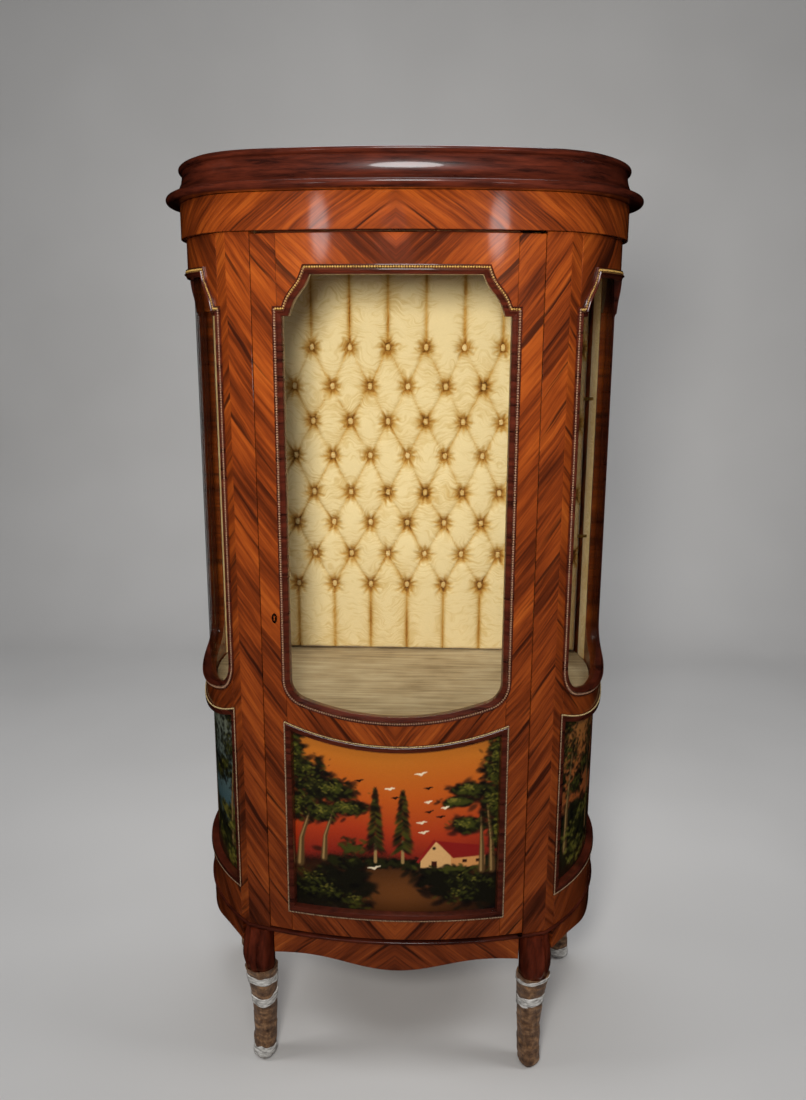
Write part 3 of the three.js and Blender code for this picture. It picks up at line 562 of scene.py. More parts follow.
# ==== Posts and side rails ====
# Posts stand between the three bays, with rails across each side. The post at a front corner
# turns on to the side, where a narrow crossband of veneer runs against its grain.
WINDOW_TOP, SHOULDER = 1.4995, 1.435
CHAMFER_RUN, SHOULDER_RUN = 0.0365, 0.014
DOOR_HALF, DOOR_GAP = 0.240, 0.0015
SIDE_FROM, SIDE_TO = 0.312, 0.633
SEAM = 0.0004
CASE_LOW, CASE_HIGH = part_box("left_front_stile")[0].z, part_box("left_front_stile")[1].z
DOOR_BAY = {"middle": 0.0, "half": 0.1955, "sill": 0.737, "bowl": 0.545, "turn": 0.042,
            "foot": 0.3495, "crown": 0.6845, "corner": 0.717}
SIDE_BAY = {"middle": (SIDE_FROM + SIDE_TO) / 2, "half": (SIDE_TO - SIDE_FROM) / 2, "sill": 0.743,
            "bowl": 0.400, "turn": 0.058, "foot": 0.374, "crown": 0.6935, "corner": 0.724}
BAYS = {
    "door": DOOR_BAY,
    "left_side": {**SIDE_BAY, "middle": -SIDE_BAY["middle"]},
    "right_side": SIDE_BAY,
}


def window_head(bay):
    """A window's top: level, then straight down the chamfer to the shoulder."""
    def height(s):
        u = np.abs(s - bay["middle"])
        down = np.clip((u - bay["half"] + SHOULDER_RUN + CHAMFER_RUN) / CHAMFER_RUN, 0, 1)
        return WINDOW_TOP + (SHOULDER - WINDOW_TOP) * down
    return height


def window_sill(bay):
    """A window's bottom: an arc of radius bowl, run into a corner arc of radius turn that ends
    upright. Their centres are in line with the point where they touch."""
    def height(s):
        u = np.minimum(np.abs(s - bay["middle"]), bay["half"])
        reach, between = bay["half"] - bay["turn"], bay["bowl"] - bay["turn"]
        bowl = bay["sill"] + bay["bowl"] - np.sqrt(bay["bowl"] ** 2 - u**2)
        centre = bay["sill"] + bay["bowl"] - math.sqrt(between**2 - reach**2)
        corner = centre - np.sqrt(np.maximum(0, bay["turn"] ** 2 - (u - reach) ** 2))
        return np.where(u < reach * bay["bowl"] / between, bowl, corner)
    return height


def panel_head(bay):
    """A painted panel's top: an arc that hangs between its corners."""
    def height(s):
        rise = bay["corner"] - bay["crown"]
        radius = (bay["half"] ** 2 + rise**2) / (2 * rise)
        return bay["crown"] + radius - np.sqrt(radius**2 - (s - bay["middle"]) ** 2)
    return height


def across_bay(bay, step=0.006):
    """Lengths across a bay, closer together where the sill turns up at each end."""
    quarter = np.linspace(0, np.pi / 2, 12)[1:-1]
    bends = [bay["half"] - SHOULDER_RUN, bay["half"] - SHOULDER_RUN - CHAMFER_RUN]
    bends = np.concatenate([[0.0], bends, bay["half"] - bay["turn"] * (1 - np.sin(quarter))])
    middle, half = bay["middle"], bay["half"]
    return lengths(middle - half, middle + half, step, [*(middle - bends), *(middle + bends)])


for word, side in (("left", -1), ("right", 1)):
    post = side * lengths(DOOR_HALF + DOOR_GAP, SIDE_FROM - SEAM)
    add_board(word + "_front_stile", post, CASE_LOW, CASE_HIGH,
              slanted(side * 36, 1.3 + side * 0.6), beyond=slanted(-side * 42, 5.9 + side * 0.4))
    post = side * lengths(SIDE_TO + SEAM, BACK_S)
    add_board(word + "_rear_stile", post, CASE_LOW, CASE_HIGH, slanted(-side * 38, 7.7 + side))
    bay = BAYS[word + "_side"]
    rails = [("top", window_head(bay), CASE_HIGH), ("belt", panel_head(bay), window_sill(bay)),
             ("base", CASE_LOW, bay["foot"])]
    for number, (rail, low, high) in enumerate(rails):
        grain = slanted(44, 9.1 + number * 1.7 + side, 1 if rail == "belt" else -1, bay["middle"])
        add_board(f"{word}_side_{rail}_rail", across_bay(bay), low, high, grain)


# ==== Floor, ceiling and back ====
# Plain boards housed in the case. The display floor is faded grey-beige with faint streaks, and a
# small bent hook of blackened wire lies on it, at the front on the right.
FLOOR_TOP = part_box("display_floor")[1].z
HOOK_RADIUS, HOOK_POINTS = 0.0014, 24
HOOK_X, HOOK_RUN = 0.150, 0.020
HOOK_IN, HOOK_CURL, HOOK_BENDS_AT = 0.104, 0.040, 0.6


def worn_metal(name, low, high, rough):
    """Bare metal with patches of tarnish between two colours."""
    wire, plug = new_finish(name, Metallic=1.0)
    tarnish = wire.noise(wire.place(240, 240, 240))
    return plug(Base_Color=tarnish.ramp((0.35, low), (0.65, high)), Roughness=rough + tarnish * 0.25)


def add_wire(name, route, radius, **what):
    """A round wire: at each point of the route a circle square to its direction."""
    along = np.gradient(route, axis=0)
    along /= np.linalg.norm(along, axis=1, keepdims=True)
    level = np.cross(along, [0.0, 0.0, 1.0])
    level /= np.linalg.norm(level, axis=1, keepdims=True)
    lift = np.cross(level, along)[:, None]
    turn = np.linspace(0, 2 * np.pi, 12, endpoint=False)[None, :, None]
    add_tube(name, route[:, None] + radius * (np.cos(turn) * level[:, None] + np.sin(turn) * lift), **what)


refinish(PLAIN_BOARD, "top_board", "crown_board", "back_board")
FADED_BOARD = bare_board("faded_floor", srgb(138, 116, 86), srgb(172, 150, 116), srgb(194, 174, 140),
                         8, 120, 8)
refinish(FADED_BOARD, "display_floor")
IRON = worn_metal("blackened_iron", srgb(20, 17, 14), srgb(44, 38, 32), 0.4)
u = np.linspace(0, 1, HOOK_POINTS)
hook = np.stack([
    HOOK_X + HOOK_RUN * u, FACE_Y + HOOK_IN - HOOK_CURL * np.maximum(u - HOOK_BENDS_AT, 0) ** 1.2,
    np.full(HOOK_POINTS, FLOOR_TOP + HOOK_RADIUS + 0.0001),
], -1)
add_wire("floor_hook", hook, HOOK_RADIUS, body="cabinet", slot="brass", material=IRON, sharp=60)


# ==== Tufted lining ====
# Pale gold satin over wadding on the back board, drawn down by covered buttons in diamonds. The
# folds run on straight from the top row to the ceiling and from the bottom row to the floor.
PITCH = 0.077
ROWS = np.array([1.367, 1.289, 1.218, 1.148, 1.071, 1.007, 0.940, 0.873])
ROW_SHIFTS = (0.002, 0.004)
FOLD_SPAN = 0.069
PUFF = 0.019
CREASE_WIDE, GOLD_WIDE, DIMPLE_WIDE, HALO_WIDE = 0.0022, 0.007, 0.0135, 0.0170
RAYS_FROM, RAYS_WIDE = 0.012, 0.010
EDGE_ROUND = 0.008
LINING_LOW, LINING_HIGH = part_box("tufted_lining")
PUFF_FRONT = LINING_LOW.y - 0.003
PAD_HALF, PAD_TALL = LINING_HIGH.x + 0.0035, 0.828
BUTTONS_WITHIN = 0.352
CLOTH_PROUD, CLOTH_DEEPEST = 0.004, 0.001
COARSE, FINE = 0.006, 0.0025


def satin():
    """Darker gold where the cloth is drawn down, a painted shade taken from its paint, under a nap brushed
    in short level
    strokes: a noise stretched sideways, on coordinates that a slow noise lifts and lowers."""
    wire, plug = new_finish("gold_satin", Sheen_Weight=0.3, Sheen_Roughness=0.4, Specular_IOR_Level=0.5)
    # The paint's brightness is the painted shade of the folds, dimples and button halos.
    depth = wire.painted(out=2)
    sway = wire.noise(wire.place(14, 14, 14), 2.0)
    lift = wire.node("CombineXYZ", Z=(sway - 0.5) * 30)
    nap = wire.noise(wire.moved(wire.place(38, 38, 260), lift), 3.0, 0.65)
    cloud = wire.noise(wire.place(8, 8, 10), 3.0)
    tone = depth + (0.5 - cloud) * 0.45 + (0.5 - nap) * 0.85
    cloth = tone.ramp(
        (0.0, srgb(226, 200, 150)), (0.20, srgb(210, 177, 118)), (0.42, srgb(192, 147, 74)),
        (0.65, srgb(158, 105, 36)), (0.85, srgb(108, 67, 20)), (1.0, srgb(70, 41, 13)),
    )
    return plug(Base_Color=cloth, Roughness=0.42 + nap * 0.2, Normal=wire.relief(nap + sway, 0.30, 0.0022))


BUTTONS = np.array([
    (PITCH * (k + 0.5 * (row % 2 == 0)) + ROW_SHIFTS[row % 2], z, row)
    for row, z in enumerate(ROWS) for k in range(-5, 5)
    if abs(PITCH * (k + 0.5 * (row % 2 == 0))) < BUTTONS_WITHIN
])


def lining_sink(x, z):
    """How far the cloth is drawn down, 0 to 1, and its painted shade, darker in valleys and creases.
    Rows are counted by v, held at the first and last, and p, q = u +- v/2 number the two sets of
    folds, which lie at the halves. The sink is a broad valley 1 - |cos pi p cos pi q|^0.4, a thin crease,
    and a dimple and ragged gathers at each button. The painted shade adds a dark halo round each button
    that the gathers pull out of round."""
    v = np.interp(-z, -ROWS, np.arange(len(ROWS)))
    u = (x - np.interp(v % 2, [0, 1, 2], [*ROW_SHIFTS, ROW_SHIFTS[0]])) / PITCH
    p, q = u + v / 2, u - v / 2
    beyond = np.clip(np.maximum(z - ROWS[0], ROWS[-1] - z) / 0.03, 0, 1)
    valley = 1 - np.abs(np.cos(np.pi * p) * np.cos(np.pi * q)) ** 0.4
    fold = FOLD_SPAN * np.minimum(np.abs(p % 1 - 0.5), np.abs(q % 1 - 0.5))
    gap = np.hypot(x[..., None] - BUTTONS[:, 0], z[..., None] - BUTTONS[:, 1])
    button, nearest = gap.min(-1), gap.argmin(-1)
    turn = np.arctan2(z - BUTTONS[nearest, 1], x - BUTTONS[nearest, 0])
    wild = np.cos((7 + nearest % 4) * turn + nearest)
    wild = wild + 0.7 * np.cos((12 + nearest % 3) * turn + 2.3 * nearest)
    rays = 0.6 * wild * np.exp(-(((button - RAYS_FROM) / RAYS_WIDE) ** 2))
    slack = crumple(2.2 * x / PITCH + 0.7 * np.sin(40 * z), 0.35 * z, 7, 0.03)
    uneven = 0.7 + 0.3 * np.sin(31 * x + 17 * z) * np.sin(43 * z - 23 * x)
    crease = np.exp(-fold / CREASE_WIDE) * uneven
    gold = np.exp(-fold / GOLD_WIDE) * beyond
    dimple = np.exp(-((button / DIMPLE_WIDE) ** 2))
    halo = np.exp(-((button / (HALO_WIDE * (1 + 0.22 * wild))) ** 3))
    sink = (0.30 + 0.10 * beyond) * valley + (0.20 + 0.18 * beyond) * crease + 0.62 * dimple + 0.13 * rays
    # Painted shade: darker gold in the valleys and creases, on the fold flanks past the rows, in each
    # dimple and in a halo round each button.
    stain_and_shade = 0.08 * valley + (0.34 + 0.25 * beyond) * crease + 0.16 * gold + 0.46 * halo + 0.16 * dimple
    return np.clip(sink + slack, 0, 1.05), stain_and_shade


def lining_pad(step):
    """A grid over the lining's front: x, z, its sink and painted shade, and its rounded edge."""
    x = np.linspace(-PAD_HALF, PAD_HALF, round(2 * PAD_HALF / step) + 1)
    z = np.linspace(LINING_LOW.z + 0.0005, LINING_HIGH.z - 0.0005, round(PAD_TALL / step) + 1)
    x, z = np.meshgrid(x, z)
    edge = np.minimum(np.minimum(x - x.min(), x.max() - x), np.minimum(z - z.min(), z.max() - z))
    return x, z, *lining_sink(x, z), 1 - np.sqrt(np.clip(edge / EDGE_ROUND, 0, 1))


def slab_faces(rows, columns):
    """Faces of a slab: a grid in front, and behind it only its bottom and top rows of points."""
    i, j = np.meshgrid(np.arange(rows - 1), np.arange(columns - 1), indexing="ij")
    here, above = i * columns + j, (i + 1) * columns + j
    grid = np.stack([here, here + 1, above + 1, above], -1).reshape(-1, 4)
    low, j = rows * columns, np.arange(columns - 1)
    high, top = low + columns, (rows - 1) * columns
    under = np.stack([j + 1, j, low + j, low + j + 1], -1)
    over = np.stack([top + j, top + j + 1, high + j + 1, high + j], -1)
    back = np.stack([low + j + 1, low + j, high + j, high + j + 1], -1)
    rise = np.arange(rows) * columns
    left = np.concatenate([rise, [high, low]])[None, :]
    right = np.concatenate([rise[::-1] + columns - 1, [high - 1, high + columns - 1]])[None, :]
    return [grid, under, over, back, left, right]


def with_back(front, depth):
    """The points of a slab: its front grid, then its bottom and top rows set back to y = depth."""
    rows = front[[0, -1]].copy()
    rows[..., 1] = depth
    return np.concatenate([front.reshape(-1, 3), rows.reshape(-1, 3)])


def relaxed(step=COARSE, frames=20, cap=0.005):
    """Lets the wadding push the cloth: a closed pad under pressure, held at its back, edges,
    folds and buttons. Returns how far each point of its front moved, by at most cap."""
    x, z, sink, _, edge = lining_pad(step)
    front = np.stack([x, PUFF_FRONT + PUFF * np.maximum(sink, edge), z], -1)
    points = with_back(front, LINING_HIGH.y - 0.0006)
    pad = bpy.data.meshes.new("pad")
    groups = slab_faces(*x.shape)
    pad.from_pydata(points.tolist(), [], [face for faces in groups for face in faces.tolist()])
    trial = bpy.data.objects.new("pad", pad)
    bpy.context.scene.collection.objects.link(trial)
    held = trial.vertex_groups.new(name="held")
    firm = np.clip(np.maximum(sink * 1.5, edge * 4), 0, 1).ravel()
    firm = np.concatenate([firm, np.ones(2 * x.shape[1])])
    for level in range(11):
        held.add(np.flatnonzero(np.round(firm * 10) == level).tolist(), level / 10, "REPLACE")
    cloth = trial.modifiers.new("cloth", "CLOTH")
    cloth.settings.quality, cloth.settings.mass = 4, 0.3
    cloth.settings.use_pressure, cloth.settings.uniform_pressure_force = True, 4.0
    cloth.settings.vertex_group_mass, cloth.settings.effector_weights.gravity = "held", 0.0
    cloth.point_cache.frame_end = frames
    for number in range(1, frames + 1):
        bpy.context.scene.frame_set(number)
    made = trial.evaluated_get(bpy.context.evaluated_depsgraph_get()).to_mesh()
    moved = np.zeros(len(made.vertices) * 3)
    made.vertices.foreach_get("co", moved)
    moved = np.clip(moved.reshape(-1, 3)[: x.size] - points[: x.size], -cap, cap)
    bpy.data.objects.remove(trial)
    bpy.context.scene.frame_set(1)
    return moved.reshape(front.shape)


def finer(field, shape):
    """Carries a grid of values to a finer grid, straight between its points."""
    i, j = np.linspace(0, field.shape[0] - 1, shape[0]), np.linspace(0, field.shape[1] - 1, shape[1])
    a, b = np.minimum(i.astype(int), field.shape[0] - 2), np.minimum(j.astype(int), field.shape[1] - 2)
    down, right = (i - a)[:, None, None], (j - b)[None, :, None]
    left_edge = field[a][:, b] * (1 - down) + field[a + 1][:, b] * down
    right_edge = field[a][:, b + 1] * (1 - down) + field[a + 1][:, b + 1] * down
    return left_edge * (1 - right) + right_edge * right


def add_lining():
    """The pad: the worked-out front, let out by the cloth's own movement on a coarser grid."""
    x, z, sink, stain_and_shade, edge = lining_pad(FINE)
    front = np.stack([x, PUFF_FRONT + PUFF * np.maximum(sink, edge), z], -1)
    front += finer(relaxed(), x.shape)
    front[..., 1] = np.clip(front[..., 1], PUFF_FRONT - CLOTH_PROUD, LINING_HIGH.y - CLOTH_DEEPEST)
    points = with_back(front, LINING_HIGH.y - 0.0002)
    # The paint holds the painted shade of the folds and buttons; the back rows get full shade.
    depth = np.concatenate([stain_and_shade.ravel(), np.ones(2 * x.shape[1])])[:, None] * np.ones(3)
    groups = facing_out(points, slab_faces(*x.shape))
    pad = add_mesh("tufted_lining_pad", points, groups, "cabinet", "satin", SATIN, ["tufted_lining"],
                   paint=depth, sharp=180)


SATIN = satin()
add_lining()

# The cloth turns forward at each end, over thin wadding on the inner face of the rear post.
RETURN_FROM, RETURN_TO = SIDE_TO + 0.003, BACK_S - 0.0265
# RETURN_SHADE is a light, even painted shade on the returns, carried in the satin's paint.
RETURN_BACK, RETURN_THICK, RETURN_SHADE = -WALL - 0.0006, 0.0034, 0.12
across = np.linspace(0, 1, 20)
soft = np.sqrt(np.sin(np.pi * np.clip(across, 0.02, 0.98)))
level = np.linspace(LINING_LOW.z + 0.001, LINING_HIGH.z - 0.001, 160)[:, None]
ripple = 0.8 + crumple(2 * np.pi * across, level, 17, 0.14)
for word, side in (("left", -1), ("right", 1)):
    s = side * (RETURN_FROM + (RETURN_TO - RETURN_FROM) * across)
    front_t = RETURN_BACK - RETURN_THICK * soft * ripple
    loop = np.concatenate([front_t, np.full_like(front_t, RETURN_BACK)], axis=1)
    sections = bend(np.concatenate([s, s[::-1]])[None, :], level, loop)
    fold_back = add_tube(word + "_lining_return", sections, body="cabinet", slot="satin", material=SATIN,
                         sharp=60, paint=np.full((sections[..., 0].size, 3), RETURN_SHADE))

# Covered buttons: a low dome, radius x (cos a, sin a) and height x the root of what is left.
BUTTON_WIDE, BUTTON_TALL, BUTTON_RISE, BUTTON_SIDES = 0.00624, 0.008736, 0.0048, 12


def copies_faces(points, rings, around):
    """The faces of many like bodies, from their points, an array of (body, point, xyz)."""
    groups = facing_out(points[0], tube_faces(rings, around))
    return [np.concatenate([faces + rings * around * n for n in range(len(points))]) for faces in groups]


ring = np.array([1.0, 0.94, 0.72, 0.38, 0.05])
dome = np.sqrt(1 - ring**2)
turn = np.linspace(0, 2 * np.pi, BUTTON_SIDES, endpoint=False)
cap_x = (BUTTON_WIDE * ring[:, None] * np.cos(turn)).ravel()
cap_z = (BUTTON_TALL * ring[:, None] * np.sin(turn)).ravel()
cap_y = PUFF_FRONT + PUFF * 0.97 - np.repeat(BUTTON_RISE * dome, BUTTON_SIDES)
button_x, button_z = BUTTONS[:, :1], BUTTONS[:, 1:2]
caps = np.stack([button_x + cap_x, cap_y + 0 * button_x, button_z + cap_z], -1)
# Painted shade on the buttons: darker towards the rim where each sinks into the cloth.
shade = np.tile(np.repeat(0.16 + 0.40 * ring**3, BUTTON_SIDES)[:, None] * np.ones(3), (len(caps), 1))
add_mesh("lining_buttons", caps.reshape(-1, 3), copies_faces(caps, len(ring), BUTTON_SIDES), "cabinet",
         "satin", SATIN, paint=shade, sharp=70)


# ==== Shelf pegs ====
# Four turned brass pegs stand in the rear posts, two a side, to carry glass shelves. Each is a
# plain round pin with a dulled, aged surface.
BRASS = worn_metal("aged_brass", srgb(120, 94, 52), srgb(200, 170, 112), 0.22)
for word in ("left", "right"):
    refinish(BRASS, f"shelf_peg_{word}_upper", f"shelf_peg_{word}_lower")


# ==== Door frame ====
# Two stiles and three rails make the bowed door, veneered like the case. The rails are matched
# at the middle, with the grain in a V.
DOOR_LOW, DOOR_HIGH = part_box("door_left_stile")[0].z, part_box("door_left_stile")[1].z
for word, side in (("left", -1), ("right", 1)):
    stile = side * lengths(DOOR_BAY["half"] + SEAM, DOOR_HALF)
    grain = slanted(side * 40, 2.2 + side * 0.9)
    add_board(f"door_{word}_stile", stile, DOOR_LOW, DOOR_HIGH, grain, "door")
door_rails = [
    ("top", window_head(DOOR_BAY), DOOR_HIGH, slanted(46, 11.3, 1)),
    ("middle", panel_head(DOOR_BAY), window_sill(DOOR_BAY), slanted(36, 12.9, 1)),
    ("bottom", DOOR_LOW, DOOR_BAY["foot"], slanted(40, 14.2, 1)),
]
for rail, low, high, grain in door_rails:
    add_board(f"door_{rail}_rail", across_bay(DOOR_BAY), low, high, grain, "door")


# A thin mahogany strip under the frieze stops the door along its top.
STOP_FROM, STOP_TO, STOP_TALL = -0.2395, 0.228, 0.014
stop_front, stop_back = -WALL - 0.001, -WALL - 0.005
stop_low = CASE_HIGH - STOP_TALL
stop_profile = np.array([
    (stop_front, stop_low), (stop_front, CASE_HIGH), (stop_back, CASE_HIGH), (stop_back, stop_low),
])
stop = bend(lengths(STOP_FROM, STOP_TO)[:, None], stop_profile[:, 1], stop_profile[:, 0])
add_tube("door_stop", stop, body="cabinet", slot="dark_wood", material=MOULDING_WOOD)


# ==== Painted panels ====
# Thin boards behind the mouldings, each painted in oils with a country scene at sunset and then
# varnished: dark trees, a barn by a pond, and birds.
PANEL_FRONT, PANEL_BACK = -0.012, -0.016
PANE_INSET = 0.001
BARE_BACK = srgb(112, 80, 50)


def oil_paint():
    """The painted picture, dulled in the weave of its linen ground, with brush marks in relief."""
    wire, plug = new_finish("oil_paint", Coat_Weight=0.35, Coat_Roughness=0.18)
    paint = wire.painted()
    linen = wire.noise(wire.place(900, 900, 260), 1.0) + wire.noise(wire.place(260, 260, 900), 1.0)
    brush = wire.noise(wire.place(70, 70, 110), 4.0, 0.65)
    worn = (linen * 0.5).step(0.25, 0.75) * 0.35
    paint = worn.between(paint, (0.75, 0.72, 0.68), "MULTIPLY")
    return plug(Base_Color=paint, Roughness=0.32 + brush * 0.25,
                Normal=wire.relief(linen + brush, 0.20, 0.0008))


class Canvas:
    """A picture on a grid that is one unit wide. x runs right, y up, and dabs are soft blots."""

    def __init__(self, columns, rows, seed):
        self.draw = np.random.default_rng(seed)
        self.tall = rows / columns
        x, y = np.linspace(0, 1, columns), np.linspace(0, self.tall, rows)
        self.x, self.y = np.meshgrid(x, y)
        self.paint = np.zeros((rows, columns, 3))

    def lay(self, cover, colour):
        """Covers the picture with a colour, as far as cover, 0 to 1, says."""
        cover = np.clip(cover, 0, 1)[..., None]
        self.paint = self.paint * (1 - cover) + np.array(colour) * cover

    def bands(self, *stops):
        """Blends colours up the picture, from heights as parts of it, with uneven brushwork."""
        height = self.y / self.tall + 0.02 * np.sin(9 * self.x + 5 * self.y)
        height = height + self.draw.normal(0, 0.006, self.x.shape)
        places = [stop[0] for stop in stops]
        for channel in range(3):
            self.paint[..., channel] = np.interp(height, places, [stop[1][channel] for stop in stops])

    def dab(self, x, y, wide, high, colour, turn=0.0, cover=1.0, soft=2.0):
        """One oval dab. Its cover falls off as exp(-(distance / size)^(2 soft))."""
        reach = 2 * max(wide, high)
        columns = np.abs(self.x[0] - x) < reach
        rows = np.abs(self.y[:, 0] - y) < reach
        if not columns.any() or not rows.any():
            return
        box = np.ix_(rows, columns)
        dx, dy = self.x[box] - x, self.y[box] - y
        a, b = dx * math.cos(turn) + dy * math.sin(turn), dy * math.cos(turn) - dx * math.sin(turn)
        mask = cover * np.exp(-(((a / wide) ** 2 + (b / high) ** 2) ** soft))[..., None]
        self.paint[box] = self.paint[box] * (1 - mask) + np.array(colour) * mask

    def leaves(self, x, y, wide, high, colours, count, size=0.012, cover=0.75):
        """Foliage: small slanted dabs scattered in an oval, lighter ones last."""
        spots = self.draw.normal(0, 0.42, (count, 2)) * [wide, high] + [x, y]
        for number, (px, py) in enumerate(spots):
            colour = colours[min(len(colours) - 1, int(len(colours) * number / count))]
            grow = self.draw.uniform(0.5, 1.3) * size
            self.dab(px, py, grow * 1.5, grow * 0.7, colour, self.draw.uniform(-0.8, 0.8), cover)

    def stroke(self, points, widths, colour, cover=1.0):
        """A brush stroke: dabs run together along a bent line."""
        points = np.array(points, float)
        place = np.linspace(0, len(points) - 1, 70)
        x = np.interp(place, np.arange(len(points)), points[:, 0])
        y = np.interp(place, np.arange(len(points)), points[:, 1])
        for px, py, width in zip(x, y, np.interp(place, [0, len(points) - 1], widths)):
            self.dab(px, py, width, width, colour, 0.0, cover, 1.5)

    def shape(self, corners, colour):
        """A flat shape with straight sides, given anticlockwise and convex."""
        inside = np.full(self.x.shape, 1.0)
        for (ax, ay), (bx, by) in zip(corners, corners[1:] + corners[:1]):
            side = ((bx - ax) * (self.y - ay) - (by - ay) * (self.x - ax)) / math.hypot(bx - ax, by - ay)
            inside = np.minimum(inside, np.clip(side / 0.004 + 0.5, 0, 1))
        self.lay(inside, colour)

    def bird(self, x, y, size, colour):
        """Two thin strokes for wings, the right one lifted by a random amount."""
        lift = self.draw.uniform(0.2, 0.5)
        left = [(x - size, y + size * 0.1), (x - size * 0.4, y + size * 0.12), (x, y)]
        right = [(x, y), (x + size * 0.3, y + size * 0.3), (x + size * 0.9, y + size * lift)]
        self.stroke(left, (0.0016, 0.0040), colour)
        self.stroke(right, (0.0040, 0.0016), colour)


LEAF = [srgb(14, 12, 11), srgb(22, 20, 12), srgb(34, 34, 13), srgb(60, 62, 16), srgb(112, 104, 34)]
BARK, PALE_BARK = srgb(84, 60, 30), srgb(150, 118, 70)
BLACK, WHITE, CREAM = srgb(16, 12, 11), srgb(222, 204, 172), srgb(206, 158, 100)


def paint_tree(canvas, x, y, tall, lean, crowns, width=0.014):
    """A tree with a pale bent trunk under clumps of leaves, given as (across, up, wide, high)."""
    for dx, dy, wide, high in crowns:
        canvas.leaves(x + dx, y + dy, wide, high, LEAF[:2], 110, 0.017, 0.8)
    top = (x + lean, y + tall)
    canvas.stroke([(x, y), (x + lean * 0.15, y + tall * 0.45), top], (width, width * 0.35), BARK)
    canvas.stroke([(x - width * 0.3, y), (x + lean * 0.15 - width * 0.3, y + tall * 0.45), top],
                  (width * 0.4, width * 0.15), PALE_BARK, 0.8)
    for dx, dy, wide, high in crowns:
        canvas.leaves(x + dx, y + dy, wide * 0.95, high, LEAF[:4], 150, 0.009, 0.55)
        canvas.leaves(x + dx - 0.01, y + dy + 0.01, wide * 0.6, high * 0.6, LEAF[3:], 40, 0.0055, 0.5)


def paint_conifer(canvas, x, y, tall, wide):
    """A tall narrow conifer: short drooping strokes that shorten to the tip."""
    canvas.stroke([(x, y), (x, y + tall * 0.3)], (0.006, 0.005), PALE_BARK)
    for level in np.linspace(0.16, 1.0, 46):
        reach = wide * (1 - level) ** 0.6 + 0.004
        for side in (-1, 1):
            px = x + side * reach * canvas.draw.uniform(0.2, 0.7)
            colour = LEAF[canvas.draw.integers(0, 4)]
            canvas.dab(px, y + tall * level, reach * 0.7, 0.009, colour, -side * 0.7, 0.8)


